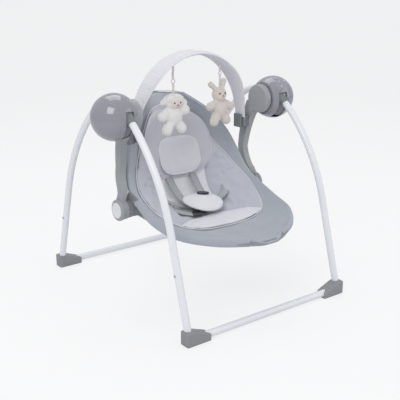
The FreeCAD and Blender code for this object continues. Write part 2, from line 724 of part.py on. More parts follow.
def bar_underside(x):
    share = 1 - (x / (BAR_X - BAR_T)) ** 2
    return CLIP_Z + (BAR_RISE - BAR_T) * math.sqrt(share)


def toy(x, top, ear):
    """Plush animal on a ribbon: head, body, arms and legs."""
    ribbon_top = bar_underside(abs(x) + RIBBON_HALF_W) - RIBBON_GAP
    parts = [box(x - RIBBON_HALF_W, x + RIBBON_HALF_W, TOY_Y - 1, TOY_Y + 1, top - 12, ribbon_top),
             Part.makeSphere(TOY_R, V(x, TOY_Y, top - TOY_R)),
             rod(V(x, TOY_Y, top - 2 * TOY_R - 48), V(0, 0, 1), 54, TOY_R - 3)]
    for side in (-1, 1):
        shoulder = V(x + side * 12, TOY_Y, top - 2 * TOY_R - 6)
        parts.append(rod(shoulder, V(side * 0.93, 0, -0.36), 42, 11))
        hip = V(x + side * 9, TOY_Y, top - 2 * TOY_R - 40)
        parts.append(rod(hip, V(side * 0.45, 0, -0.89), 36, 12))
        if ear:
            parts.append(rod(V(x + side * 9, TOY_Y, top - 8), V(side * 0.2, 0, 0.98), 34, 6))
    shape = parts[0]
    for piece in parts[1:]:
        shape = shape.fuse(piece)
    return shape


def toys():
    save("toy_bar", toy_bar())
    save("toy_lamb", toy(LAMB_X, LAMB_TOP, False))
    save("toy_bunny", toy(BUNNY_X, BUNNY_TOP, True))


# ---- seat ----
def section_point(station, u, depth):
    """Point of a bucket section; u runs -1 to 1 across it, depth is outwards."""
    share, by, bz, ry, rz = station
    half = share * SEAT_HALF_W
    rise = V(0, ry - by, rz - bz)
    height = rise.Length
    power = abs(u) ** SECTION_POWER
    slope = SECTION_POWER * abs(u) ** (SECTION_POWER - 1) * height / half
    slope = math.copysign(slope, u)
    scale = depth / math.hypot(slope, 1.0)
    x = half * u + slope * scale
    h = height * power - scale
    return V(x, by, bz) + unit(rise) * h


def section_wire(station, inner, outer, reach):
    """Closed band between two depths of a bucket section."""
    steps = [reach * (2 * i / SECTION_STEPS - 1) for i in range(SECTION_STEPS + 1)]
    curves = []
    for depth in (inner, outer):
        curve = Part.BSplineCurve()
        curve.interpolate([section_point(station, u, depth) for u in steps])
        curves.append(curve.toShape())
    edges = [Part.makeLine(section_point(station, side * reach, inner),
                           section_point(station, side * reach, outer)) for side in (1, -1)]
    return Part.Wire([curves[0], edges[0], curves[1], edges[1]])


def bucket(first, last, inner, outer, reach):
    wires = [section_wire(station, inner, outer, reach) for station in STATIONS[first:last]]
    return Part.makeLoft(wires, True, False)


def rim_points():
    """Centre line of the rim tube's right half, front to top."""
    points = [section_point(station, 1.0, FABRIC_T + RIM_GAP + RIM_R) for station in STATIONS]
    front = V(0, STATIONS[0][1] - 12, STATIONS[0][2] - 3)
    top = V(0, STATIONS[-1][1] + 16, STATIONS[-1][2] + 3)
    return [front, V(24, front.y, front.z)] + points + [V(20, top.y, top.z), top]


def seat_rim():
    half = sweep(bent_path(rim_points()), RIM_R)
    return half.fuse(mirrored(half)).removeSplitter()


def seat_bracket(rim):
    """Round ear on the recline pin, with a foot that holds the rim tube."""
    ear = disc(BRACKET_X0 + 4, BRACKET_X1, BRACKET_R, RECLINE_Y, RECLINE_Z)
    foot_top = STATIONS[RECLINE_AT][4] + 8
    foot_y = (STATIONS[RECLINE_AT][3] + STATIONS[RECLINE_AT + 1][3]) / 2
    outline = [V(BRACKET_X0, RECLINE_Y - 20, RECLINE_Z + 10),
               V(BRACKET_X0, RECLINE_Y + 20, RECLINE_Z + 10),
               V(BRACKET_X0, foot_y + 22, foot_top + 14),
               V(BRACKET_X0, foot_y - 18, foot_top)]
    ear = ear.fuse(polygon_prism(outline, V(BRACKET_FOOT_T, 0, 0)))
    ear = ear.cut(rim)
    return ear.cut(disc(BRACKET_X0 - 1, BRACKET_X1 + 1, RECLINE_PIN_R + RUN_GAP,
                        RECLINE_Y, RECLINE_Z))


def seat_crossbar():
    """Bowed beam under the seat between the two recline joints."""
    low = RECLINE_Z - CROSSBAR_DIP
    y = RECLINE_Y
    reach = BRACKET_X0 + 3.9
    path = bent_path([V(-reach, y, RECLINE_Z - 8), V(-reach + 22, y, RECLINE_Z - 8),
                      V(-reach * 0.55, y, low + 4), V(reach * 0.55, y, low + 4),
                      V(reach - 22, y, RECLINE_Z - 8), V(reach, y, RECLINE_Z - 8)], 24.0)
    solid = rectangle_sweep(path, CROSSBAR_W, CROSSBAR_T)
    hollow = rectangle_sweep(path, CROSSBAR_W - 2 * CROSSBAR_WALL, CROSSBAR_T - 2 * CROSSBAR_WALL)
    return solid.cut(hollow)


def rectangle_sweep(path, width, height):
    start = path.Edges[0].valueAt(path.Edges[0].FirstParameter)
    corners = [start + V(0, side_y * width / 2, side_z * height / 2)
               for side_y, side_z in ((-1, -1), (1, -1), (1, 1), (-1, 1))]
    return path.makePipeShell([Part.makePolygon(corners + corners[:1])], True, False)


def band(points, width_dir, width):
    """Flat strap along points that lie in one plane, square to its width."""
    side = unit(width_dir) * (width / 2)
    up = unit((points[1] - points[0]).cross(width_dir)) * (STRAP_T / 2)
    lower = [point - up - side for point in points]
    upper = [point + up - side for point in reversed(points)]
    return polygon_prism(lower + upper, side * 2)


def rounded_slab(width, length, thick, corner, centre, tilt):
    slab = Part.makeBox(width, length, thick, V(-width / 2, -length / 2, -thick / 2))
    upright = [e for e in slab.Edges if abs(e.tangentAt(e.FirstParameter).z) > 0.9]
    slab = slab.makeFillet(corner, upright)
    slab.rotate(V(0, 0, 0), X_AXIS, tilt)
    slab.translate(centre)
    return slab


def slot_point(x):
    """Where a shoulder strap leaves the liner, between two stations."""
    depth = -LINER_GAP - LINER_T - STRAP_T
    lower = section_point(STATIONS[5], x / (STATIONS[5][0] * SEAT_HALF_W), depth)
    upper = section_point(STATIONS[6], x / (STATIONS[6][0] * SEAT_HALF_W), depth)
    return V(x, (lower.y + upper.y) / 2, (lower.z + upper.z) / 2)


def harness():
    buckle_z = PAD_Z - PAD_T / 2 - BUCKLE_T / 2 - 3.6
    slot = slot_point(SHOULDER_X)
    shoulder = band([slot, V(SHOULDER_X, 34, 291), V(SHOULDER_X, -4, 264.4)], X_AXIS, STRAP_W)
    hip = V(112, 8, 280)
    tongue = V(BUCKLE_W / 2 + 0.6, PAD_Y + 22, buckle_z + 1)
    waist = band([hip, (hip + tongue) / 2, tongue], unit(hip - tongue).cross(V(0, 0, 1)), STRAP_W)
    straps = [shoulder, waist, mirrored(shoulder), mirrored(waist)]
    save("harness_straps", Part.Compound(straps))
    under = buckle_z - BUCKLE_T / 2
    crotch = [V(0, PAD_Y - 28, under - 5.8), V(0, PAD_Y - 12, under - 3.6), V(0, PAD_Y, under - 1.3)]
    save("crotch_strap", band(crotch, X_AXIS, STRAP_W))
    save("crotch_pad", rounded_slab(PAD_W, PAD_L, PAD_T, 50.0, V(0, PAD_Y, PAD_Z), 8.0))
    body = rounded_slab(BUCKLE_W, BUCKLE_L, BUCKLE_T, 6.0, V(0, PAD_Y, buckle_z), 0.0)
    key_y0 = PAD_Y - BUCKLE_L / 2
    recess = box(-12.3, 12.3, key_y0 - 1, key_y0 + 9, buckle_z - 4.3, buckle_z + 4.3)
    save("buckle", body.cut(recess))
    key = box(-12, 12, key_y0 - 1.5, key_y0 + 5, buckle_z - 4, buckle_z + 4)
    save("buckle_button", key)


def seat():
    rim = seat_rim()
    save("seat_rim", rim)
    save("seat_cover", bucket(0, len(STATIONS), 0.0, FABRIC_T, 1.0))
    save("seat_liner", bucket(2, 9, -LINER_GAP - LINER_T, -LINER_GAP, 0.74))
    back = LINER_GAP + LINER_T
    save("head_pad", bucket(6, 9, -back - LINER_GAP - HEAD_T, -back - LINER_GAP, 0.66))
    front = back + LINER_GAP + HEAD_T
    save("neck_cushion", bucket(6, 8, -front - LINER_GAP - NECK_T, -front - LINER_GAP, 0.30))
    save_pair("seat_bracket", seat_bracket(rim))
    save("seat_crossbar", seat_crossbar())
    harness()


def main():
    os.makedirs("parts", exist_ok=True)
    floor_frame(-1, "front")
    floor_frame(1, "rear")
    hubs()
    drive()
    arms()
    toys()
    seat()
    for name, shape in SAVED.items():
        shape.exportStep(os.path.join("parts", name + ".step"))
    print(len(SAVED), "nodes")


main()
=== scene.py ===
"""Folding baby swing: cloth, padding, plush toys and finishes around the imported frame."""
import math

import bmesh
import bpy
import numpy as np
from bpy.props import FloatProperty, FloatVectorProperty, IntProperty, PointerProperty
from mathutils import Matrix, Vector, noise


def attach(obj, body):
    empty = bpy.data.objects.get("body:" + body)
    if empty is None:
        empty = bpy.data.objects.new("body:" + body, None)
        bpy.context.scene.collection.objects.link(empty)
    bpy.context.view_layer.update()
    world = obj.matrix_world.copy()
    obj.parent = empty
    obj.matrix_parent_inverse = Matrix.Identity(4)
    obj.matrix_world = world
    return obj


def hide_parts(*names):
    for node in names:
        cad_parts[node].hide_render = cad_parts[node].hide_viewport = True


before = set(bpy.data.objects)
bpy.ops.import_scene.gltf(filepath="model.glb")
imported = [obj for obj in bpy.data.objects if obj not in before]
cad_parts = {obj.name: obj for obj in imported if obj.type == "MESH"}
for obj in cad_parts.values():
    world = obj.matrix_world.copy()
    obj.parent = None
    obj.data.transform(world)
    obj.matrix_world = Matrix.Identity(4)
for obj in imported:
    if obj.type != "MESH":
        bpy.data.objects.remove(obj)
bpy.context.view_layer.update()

bl_info = {
    "name": "Baby swing",
    "version": (1, 0, 0),
    "blender": (4, 5, 0),
    "location": "View3D > Sidebar > Baby swing",
    "description": "Makes the cloth, padding, toys and finishes of a folding baby swing",
    "category": "Add Mesh",
}

MM = 0.001

# Each station of the seat bucket: share of the half width, bottom (y, z), rim (y, z).
STATIONS = np.array((
    (0.24, -335.0, 226.0, -336.0, 238.0),
    (0.62, -285.0, 221.0, -286.0, 243.0),
    (0.92, -205.0, 222.0, -208.0, 252.0),
    (1.00, -110.0, 224.0, -120.0, 270.0),
    (0.98, -15.0, 230.0, -42.0, 302.0),
    (0.95, 58.0, 272.0, 6.0, 336.0),
    (0.90, 98.0, 350.0, 38.0, 390.0),
    (0.80, 124.0, 435.0, 64.0, 448.0),
    (0.58, 152.0, 510.0, 92.0, 508.0),
    (0.28, 196.0, 556.0, 150.0, 562.0),
))
LAST = len(STATIONS) - 1
SEAT_HALF_W = 214 * MM
SECTION_POWER = 2.4
COVER_T = 8 * MM
EDGE_SEAM = 0.935            # share of the half width where the cover's edge seam runs
SLEEVE_REACH = 11.5 * MM     # half depth of the sleeve round the rim rod
SLEEVE_RISE = 9.0 * MM

# Half width of the liner, as a share of the bucket's, at places along the bucket.
LINER_EDGE = ((2.33, 0.0), (2.36, 0.42), (2.55, 0.66), (2.9, 0.79), (3.8, 0.93), (4.8, 0.95),
              (5.9, 0.87), (6.6, 0.77), (7.4, 0.66), (8.1, 0.46), (8.35, 0.0))


# ---- settings ----
def size(name, description, value, low=0.0, high=1.0):
    return FloatProperty(name=name, description=description, default=value, min=low, max=high,
                         unit="LENGTH", subtype="DISTANCE", precision=4)


def tint(name, description, value):
    return FloatVectorProperty(name=name, description=description, default=value, size=3,
                               min=0.0, max=1.0, subtype="COLOR")


class SeatSettings(bpy.types.PropertyGroup):
    slate: tint("Slate cloth", "Border and outside of the seat", (0.455, 0.485, 0.53))
    lilac: tint("Lilac cloth", "Side panels of the liner", (0.61, 0.625, 0.69))
    pad_lilac: tint("Pad cloth", "Head pad", (0.66, 0.65, 0.70))
    centre_grey: tint("Cushion cloth", "Cushion in the middle of the head pad", (0.79, 0.79, 0.815))
    mesh_white: tint("Spacer mesh", "Airy panel behind the back", (0.92, 0.92, 0.93))
    band_white: tint("Front band", "Pale crescent at the front of the liner", (0.86, 0.85, 0.89))
    webbing: tint("Webbing", "Harness straps", (0.47, 0.495, 0.51))
    liner_t: size("Liner thickness", "Crown of the liner above the cover", 0.013)
    head_t: size("Head pad thickness", "Crown of the head pad", 0.019)
    neck_t: size("Cushion thickness", "Crown of the middle cushion", 0.013)
    strap_w: size("Strap width", "Width of the harness webbing", 0.025)
    strap_t: size("Strap thickness", "Thickness of the harness webbing", 0.002)
    stitch_pitch: size("Stitch pitch", "From one stitch to the next", 0.0045)


class ToySettings(bpy.types.PropertyGroup):
    cream: tint("Cream plush", "Lamb", (0.94, 0.92, 0.89))
    beige: tint("Beige plush", "Bunny", (0.80, 0.735, 0.67))
    blush: tint("Blush plush", "Lamb's face and bunny's muzzle", (0.90, 0.76, 0.71))
    bar_cloth: tint("Bar cloth", "Sleeve of the toy bar", (0.80, 0.78, 0.82))
    bar_dot: tint("Bar dots", "Small print on the sleeve", (0.95, 0.95, 0.96))
    bar_t: size("Bar thickness", "Padded thickness of the toy bar", 0.0105)
    ring_r: size("Ring radius", "Plastic ring above each toy", 0.006)
    seed: IntProperty(name="Seed", description="Seed of the wool's curls", default=7)


class FrameSettings(bpy.types.PropertyGroup):
    enamel: tint("White enamel", "Painted tubes", (0.87, 0.88, 0.90))
    hub: tint("Hub grey", "Glossy hub casings", (0.30, 0.30, 0.33))
    arm: tint("Arm grey", "Swing arms", (0.36, 0.37, 0.38))
    rubber: tint("Foot grey", "Corner feet", (0.30, 0.305, 0.315))
    clip: tint("Clip grey", "Toy clips and leg pivots", (0.20, 0.225, 0.225))
    wear: FloatProperty(name="Wear", description="How rubbed the plastic looks", default=0.35,
                        min=0.0, max=1.0, subtype="FACTOR")


class StageSettings(bpy.types.PropertyGroup):
    lens: FloatProperty(name="Lens", description="Focal length of the camera", default=67.52,
                        unit="CAMERA")
    distance: size("Camera distance", "From the camera to its target", 2.3016, 0.5, 10.0)
    azimuth: FloatProperty(name="Azimuth", description="Camera's turn from straight ahead",
                           default=math.radians(-37.478), subtype="ANGLE")
    elevation: FloatProperty(name="Elevation", description="Camera's height angle",
                             default=math.radians(16.864), subtype="ANGLE")
    target: FloatVectorProperty(name="Target", description="Point the camera looks at",
                                default=(0.0273, 0.0, 0.2527), subtype="XYZ", unit="LENGTH")
    floor: tint("Floor", "Colour of the floor", (0.86, 0.86, 0.87))


# ---- seat geometry ----
def along(table, place):
    """Smooth curve through the rows of a table, at places counted in rows."""
    table = np.asarray(table, float)
    place = np.asarray(place, float)
    low = np.clip(np.floor(place).astype(int), 0, len(table) - 2)
    t = (place - low)[..., None]
    p0, p1, p2, p3 = (table[np.clip(low + k, 0, len(table) - 1)] for k in (-1, 0, 1, 2))
    return 0.5 * (2 * p1 + (p2 - p0) * t + (2 * p0 - 5 * p1 + 4 * p2 - p3) * t ** 2
                  + (3 * p1 - p0 - 3 * p2 + p3) * t ** 3)


def seat_point(s, u, lift=0.0):
    """Point of the bucket: s runs front to top, u across, lift is towards the child."""
    s, u, lift = np.broadcast_arrays(np.asarray(s, float), u, lift)
    rows = along(STATIONS, s)
    half = rows[..., 0] * SEAT_HALF_W
    bottom = rows[..., 1:3] * MM
    rise = rows[..., 3:5] * MM - bottom
    height = np.linalg.norm(rise, axis=-1)
    slope = SECTION_POWER * np.abs(u) ** (SECTION_POWER - 1) * height / half * np.sign(u)
    back = -lift / np.hypot(slope, 1.0)
    up = (height * np.abs(u) ** SECTION_POWER - back) / height
    yz = bottom + rise * up[..., None]
    return np.concatenate([(half * u + slope * back)[..., None], yz], axis=-1)


def flat_place(s, u):
    """Cloth coordinates in metres: across, and along the middle of the bucket."""
    steps = np.linspace(0, LAST, 200)
    middle = seat_point(steps, 0.0)
    run = np.concatenate([[0], np.cumsum(np.linalg.norm(np.diff(middle, axis=0), axis=1))])
    rows = along(STATIONS, s)
    return np.stack([rows[..., 0] * SEAT_HALF_W * u, np.interp(s, steps, run)], axis=-1)


def smooth_step(value, low, high):
    t = np.clip((value - low) / (high - low), 0, 1)
    return t * t * (3 - 2 * t)


def ripple(points, scale, seed=0.0, stretch=(1, 1, 1)):
    """Smooth noise from -1 to 1 at each point."""
    return np.array([noise.noise(Vector(p * stretch) * scale + Vector((seed, 0, 0)))
                     for p in points])


# ---- mesh helpers ----
def new_object(name, points, faces, materials, uv=None, values=None, outward=True):
    mesh = bpy.data.meshes.new(name)
    mesh.from_pydata([tuple(map(float, p)) for p in points], [], faces)
    for material in materials:
        mesh.materials.append(material)
    if uv is not None:
        corner = np.zeros(len(mesh.loops), int)
        mesh.loops.foreach_get("vertex_index", corner)
        mesh.uv_layers.new(name="UVMap").data.foreach_set("uv", np.asarray(uv)[corner].ravel())
    for key, numbers in (values or {}).items():
        mesh.attributes.new(key, "FLOAT", "POINT").data.foreach_set("value", np.asarray(numbers, float))
    mesh.shade_smooth()
    obj = bpy.data.objects.new(name, mesh)
    bpy.context.collection.objects.link(obj)
    if outward:
        tidy_mesh(obj)
    return obj


def tidy_mesh(obj, distance=1e-6):
    """Welds doubles and turns the faces outwards."""
    bm = bmesh.new()
    bm.from_mesh(obj.data)
    bmesh.ops.remove_doubles(bm, verts=bm.verts, dist=distance)
    bmesh.ops.dissolve_degenerate(bm, edges=bm.edges, dist=distance)
    bmesh.ops.recalc_face_normals(bm, faces=bm.faces)
    bm.to_mesh(obj.data)
    bm.free()
    obj.data.shade_smooth()


def grid_faces(rows, columns, closed_rows=False, closed_columns=False, start=0):
    faces = []
    for i in range(rows if closed_rows else rows - 1):
        for j in range(columns if closed_columns else columns - 1):
            i2, j2 = (i + 1) % rows, (j + 1) % columns
            faces.append((start + i * columns + j, start + i * columns + j2,
                          start + i2 * columns + j2, start + i2 * columns + j))
    return faces


def tube_mesh(path, radius, sides=10, closed=False):
    """Points and faces of a round tube along a path, with closed ends."""
    path = np.asarray(path, float)
    count = len(path)
    ahead = np.roll(path, -1, 0) - np.roll(path, 1, 0)
    if not closed:
        ahead[0], ahead[-1] = path[1] - path[0], path[-1] - path[-2]
    ahead /= np.linalg.norm(ahead, axis=1)[:, None]
    side = np.cross(ahead[0], (0.31, 0.12, 0.94))
    side /= np.linalg.norm(side)
    turn = np.linspace(0, 2 * math.pi, sides, endpoint=False)
    points = []
    for k in range(count):
        side = side - ahead[k] * (side @ ahead[k])
        side /= np.linalg.norm(side)
        up = np.cross(ahead[k], side)
        points.append(path[k] + radius * (np.cos(turn)[:, None] * side + np.sin(turn)[:, None] * up))
    points = np.concatenate(points)
    faces = grid_faces(count, sides, closed, True)
    if not closed:
        faces.append(tuple(range(sides)))
        faces.append(tuple(range((count - 1) * sides, count * sides))[::-1])
    return points, faces


def resample(path, step, closed=False):
    path = np.asarray(path, float)
    if closed:
        path = np.vstack([path, path[:1]])
    run = np.concatenate([[0], np.cumsum(np.linalg.norm(np.diff(path, axis=0), axis=1))])
    count = max(4, int(round(run[-1] / step)))
    at = np.linspace(0, run[-1], count + 1)
    out = np.stack([np.interp(at, run, path[:, k]) for k in range(3)], axis=1)
    return out[:-1] if closed else out


def soften(path, rounds=2, closed=False):
    path = np.array(path, float)
    for _ in range(rounds):
        mean = (np.roll(path, 1, 0) + 2 * path + np.roll(path, -1, 0)) / 4
        if not closed:
            mean[0], mean[-1] = path[0], path[-1]
        path = mean
    return path


def piping(name, path, radius, material, closed=True):
    """Corded edge: a round cord of cloth along a seam."""
    line = soften(resample(path, 2.5 * radius, closed), 2, closed)
    points, faces = tube_mesh(line, radius, 8, closed)
    run = np.repeat(np.arange(len(line)) * 2.5 * radius, 8)
    around = np.tile(np.linspace(0, 6.3 * radius, 8), len(line))
    return new_object(name, points, faces, [material], np.stack([around, run], 1))


def apply_modifiers(obj):
    """Turns the evaluated object into its own plain mesh."""
    graph = bpy.context.evaluated_depsgraph_get()
    mesh = bpy.data.meshes.new_from_object(obj.evaluated_get(graph), depsgraph=graph)
    mesh.name = obj.name
    obj.modifiers.clear()
    obj.data = mesh
    return obj


def subdivide(obj, levels=1):
    modifier = obj.modifiers.new("subdivision", "SUBSURF")
    modifier.levels = levels
    modifier.render_levels = levels
    return apply_modifiers(obj)


def finish(obj, body, slot, *nodes):
    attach(obj, body)
    if nodes:
        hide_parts(*nodes)
    return obj


# ---- padding by cloth simulation ----
def inflate(obj, hold, cap, pressure=4.0, frames=20):
    """Blows a closed cloth up from inside.

    hold is 0 where the cloth is free and 1 where it is sewn. cap is the furthest that the filling
    may move a point from its sewing shape."""
    start = np.zeros(len(obj.data.vertices) * 3)
    obj.data.vertices.foreach_get("co", start)
    group = obj.vertex_groups.new(name="sewn")
    for index in np.nonzero(hold > 0.02)[0]:
        group.add([int(index)], float(hold[index]), "REPLACE")
    cloth = obj.modifiers.new("padding", "CLOTH")
    settings = cloth.settings
    settings.quality = 5
    settings.mass = 0.2
    settings.vertex_group_mass = "sewn"
    settings.use_pressure = True
    settings.uniform_pressure_force = pressure
    settings.tension_stiffness = 12
    settings.compression_stiffness = 12
    settings.bending_stiffness = 0.4
    settings.effector_weights.gravity = 0
    cloth.collision_settings.use_collision = False
    cloth.point_cache.frame_start = 1
    cloth.point_cache.frame_end = frames
    scene = bpy.context.scene
    for number in range(1, frames + 1):
        scene.frame_set(number)
    graph = bpy.context.evaluated_depsgraph_get()
    swollen = obj.evaluated_get(graph).to_mesh()
    end = np.zeros_like(start)
    swollen.vertices.foreach_get("co", end)
    obj.evaluated_get(graph).to_mesh_clear()
    obj.modifiers.clear()
    obj.vertex_groups.clear()
    scene.frame_set(1)
    move = (end - start).reshape(-1, 3)
    if not np.isfinite(move).all():
        raise RuntimeError(f"{obj.name}: the filling did not settle")
    length = np.linalg.norm(move, axis=1)
    limit = cap * np.tanh(length / cap) / np.maximum(length, 1e-9)
    obj.data.vertices.foreach_set("co", (start.reshape(-1, 3) + move * limit[:, None]).ravel())
    obj.data.update()


def pad_sheet(columns, rows, place, crown, base):
    """Two faces of a closed pad over a round-cornered outline.

    place(p, q, lift) gives points, with p and q on the unit disc; crown(p, q) is the height of
    the upper face over the base."""
    a, b = np.meshgrid(np.linspace(-1, 1, columns), np.linspace(-1, 1, rows))
    p = a * np.sqrt(1 - b * b / 2)
    q = b * np.sqrt(1 - a * a / 2)
    edge = (np.abs(a) > 0.999) | (np.abs(b) > 0.999)
    rim = np.sqrt(np.clip(1 - np.maximum(np.abs(a), np.abs(b)) ** 5, 0, 1))
    height = crown(p, q) * rim
    top = place(p, q, base + height * 0.78 + crown(p, q) * 0.22)
    low = place(p, q, base + crown(p, q) * 0.22 * (1 - rim))
    low[edge] = top[edge] = place(p, q, base + crown(p, q) * 0.22)[edge]
    points = np.concatenate([top.reshape(-1, 3), low.reshape(-1, 3)])
    count = rows * columns
    merged = np.arange(2 * count)
    merged[count:][edge.ravel()] = np.arange(count)[edge.ravel()]
    faces = grid_faces(rows, columns)
    faces += [tuple(merged[i] for i in face) for face in grid_faces(rows, columns, start=count)]
    faces = [tuple(int(merged[i]) for i in face) for face in faces]
    used, index = np.unique(np.array(faces), return_inverse=True)
    index = index.reshape(-1, 4)
    pq = np.stack([np.tile(p.ravel(), 2), np.tile(q.ravel(), 2)], 1)[used]
    upper = (used < count)
    return points[used], [tuple(map(int, f)) for f in index], pq, upper


# ---- materials ----
class Nodes:
    """Small helper that adds and links shader nodes of one material."""

    def __init__(self, name):
        self.material = bpy.data.materials.new(name)
        self.material.use_nodes = True
        self.tree = self.material.node_tree
        self.shader = self.tree.nodes["Principled BSDF"]

    def add(self, kind, inputs=None, **settings):
        node = self.tree.nodes.new(kind)
        for key, value in settings.items():
            setattr(node, key, value)
        for key, value in (inputs or {}).items():
            self.put(node.inputs[key], value)
        return node

    def put(self, socket, value):
        if isinstance(value, bpy.types.NodeSocket):
            self.tree.links.new(value, socket)
        else:
            socket.default_value = value

    def set(self, **inputs):
        for key, value in inputs.items():
            self.put(self.shader.inputs[key.replace("_", " ")], value)

    def math(self, operation, first, second=0.0, third=0.0):
        node = self.add("ShaderNodeMath", operation=operation)
        for socket, value in zip(node.inputs, (first, second, third)):
            self.put(socket, value)
        return node.outputs[0]

    def mix(self, factor, first, second, blend="MIX"):
        node = self.add("ShaderNodeMix", data_type="RGBA", blend_type=blend)
        self.put(node.inputs[0], factor)
        self.put(node.inputs[6], first)
        self.put(node.inputs[7], second)
        return node.outputs[2]

    def span(self, value, low, high, to_low=0.0, to_high=1.0):
        node = self.add("ShaderNodeMapRange")
        for socket, number in zip(node.inputs, (value, low, high, to_low, to_high)):
            self.put(socket, number)
        return node.outputs[0]

    def noise(self, place, scale, detail=3.0, roughness=0.55):
        node = self.add("ShaderNodeTexNoise", {"Vector": place, "Scale": scale, "Detail": detail,
                                               "Roughness": roughness})
        return node.outputs[0]

    def object_place(self):
        return self.add("ShaderNodeTexCoord").outputs["Object"]

    def cloth_place(self):
        return self.add("ShaderNodeUVMap", uv_map="UVMap").outputs[0]

    def attribute(self, name):
        return self.add("ShaderNodeAttribute", attribute_name=name).outputs["Fac"]

    def bump(self, height, strength, distance=0.0006):
        node = self.add("ShaderNodeBump", {"Height": height, "Strength": strength,
                                           "Distance": distance})
        self.put(self.shader.inputs["Normal"], node.outputs[0])


def shade(colour, factor):
    return tuple(min(1.0, channel * factor) for channel in colour[:3]) + (1.0,)


def weave_height(nodes, place, pitch):
    """Over-and-under threads, from 0 in the gaps to 1 on the threads."""
    split = nodes.add("ShaderNodeSeparateXYZ", {"Vector": place})
    across = nodes.math("MULTIPLY", split.outputs[0], math.pi / pitch)
    down = nodes.math("MULTIPLY", split.outputs[1], math.pi / pitch)
    warp = nodes.math("ABSOLUTE", nodes.math("SINE", across))
    weft = nodes.math("ABSOLUTE", nodes.math("SINE", down))
    order = nodes.math("SINE", nodes.math("ADD", across, down))
    pick = nodes.span(order, -0.3, 0.3)
    mixed = nodes.add("ShaderNodeMix", {0: pick, 2: warp, 3: weft}, data_type="FLOAT")
    return mixed.outputs[0]


def cloth_tint(nodes, colour, place, thread, contrast=0.10):
    """Melange colour: soft patches, flecks, and painted shade that darkens the gaps between threads."""
    spots = nodes.noise(nodes.object_place(), 900.0, 2.0)
    cloud = nodes.noise(nodes.object_place(), 18.0, 4.0)
    base = nodes.mix(nodes.span(spots, 0.35, 0.65), shade(colour, 1 - contrast),
                     shade(colour, 1 + contrast))
    base = nodes.mix(nodes.span(cloud, 0.3, 0.7, 0.0, 0.35), base, shade(colour, 0.88))
    # painted shade: the gaps between the threads are darkened towards 0.55 of the colour
    return nodes.mix(nodes.span(thread, 0.0, 0.5, 0.28, 0.0), base, shade(colour, 0.55))


def cloth_material(name, colour, pitch=0.0011, contrast=0.10, sheen=0.35):
    nodes = Nodes(name)
    place = nodes.cloth_place()
    thread = weave_height(nodes, place, pitch)
    colour_out = cloth_tint(nodes, colour, place, thread, contrast)
    fuzz = nodes.noise(nodes.object_place(), 2200.0, 2.0)
    nodes.set(Base_Color=colour_out, Roughness=nodes.span(fuzz, 0.2, 0.8, 0.82, 0.97),
              Sheen_Weight=sheen, Sheen_Roughness=0.45, Specular_IOR_Level=0.25)
    nodes.bump(nodes.math("ADD", thread, nodes.math("MULTIPLY", fuzz, 0.5)), 0.45, 0.0004)
    return nodes.material


def mesh_holes(nodes, place, pitch):
    """Round holes of a spacer mesh: 0 in a hole, 1 on the yarn."""
    scaled = nodes.add("ShaderNodeVectorMath", {0: place, 3: 1 / pitch}, operation="SCALE")
    cell = nodes.add("ShaderNodeTexVoronoi", {"Vector": scaled.outputs[0], "Scale": 1.0,
                                              "Randomness": 0.12}, voronoi_dimensions="2D")
    return nodes.span(cell.outputs["Distance"], 0.18, 0.34)


def liner_material(settings):
    """Lilac sides, white spacer mesh behind the back and a pale band at the front; painted shade darkens
    the mesh's holes and the sunken seams.
    """
    nodes = Nodes("liner_cloth")
    place = nodes.cloth_place()
    thread = weave_height(nodes, place, 0.0012)
    sides = cloth_tint(nodes, settings.lilac, place, thread)
    band = cloth_tint(nodes, settings.band_white, place, thread, 0.05)
    yarn = mesh_holes(nodes, place, 0.0032)
    # painted shade: the holes of the spacer mesh are darkened to 0.62 of its white
    mesh = nodes.mix(yarn, shade(settings.mesh_white, 0.62), shade(settings.mesh_white, 1.0))
    in_mesh = nodes.span(nodes.attribute("mesh_panel"), -0.0006, 0.0006)
    in_band = nodes.span(nodes.attribute("front_band"), -0.0006, 0.0006)
    colour = nodes.mix(in_band, nodes.mix(in_mesh, sides, mesh), band)
    sewn = nodes.attribute("sewn")
    # painted shade: the cloth is darkened along the seams, where sew() draws it down into a crease
    colour = nodes.mix(nodes.span(sewn, 0.4, 1.0, 0.0, 0.45), colour, shade(settings.lilac, 0.5))
    height = nodes.add("ShaderNodeMix", {0: in_mesh, 2: thread, 3: yarn}, data_type="FLOAT")
    nodes.set(Base_Color=colour, Roughness=0.93, Sheen_Weight=0.35, Sheen_Roughness=0.5,
              Specular_IOR_Level=0.2)
    nodes.bump(height.outputs[0], 0.5, 0.0006)
    return nodes.material


def webbing_material(name, colour):
    """Close ribs across the strap, with painted shade in the grooves between the ribs and a darker selvedge
    at each side.
    """
    nodes = Nodes(name)
    place = nodes.cloth_place()
    split = nodes.add("ShaderNodeSeparateXYZ", {"Vector": place})
    rib = nodes.math("SINE", nodes.math("MULTIPLY", split.outputs[1], 2 * math.pi / 0.0016))
    cord = nodes.math("SINE", nodes.math("MULTIPLY", split.outputs[0], 2 * math.pi / 0.0031))
    height = nodes.math("ADD", rib, nodes.math("MULTIPLY", cord, 0.6))
    edge = nodes.span(nodes.math("ABSOLUTE", split.outputs[0]), 0.0100, 0.0108)
    flecks = nodes.noise(nodes.object_place(), 700.0, 2.0)
    colour_out = nodes.mix(nodes.span(flecks, 0.3, 0.7), shade(colour, 0.85), shade(colour, 1.15))
    # painted shade: the grooves between the ribs are darkened towards half the colour
    colour_out = nodes.mix(nodes.span(height, -1.4, 0.0, 0.35, 0.0), colour_out, shade(colour, 0.5))
    colour_out = nodes.mix(nodes.math("MULTIPLY", edge, 0.35), colour_out, shade(colour, 0.6))
    nodes.set(Base_Color=colour_out, Roughness=0.72, Sheen_Weight=0.2, Specular_IOR_Level=0.35)
    nodes.bump(height, 0.5, 0.0004)
    return nodes.material


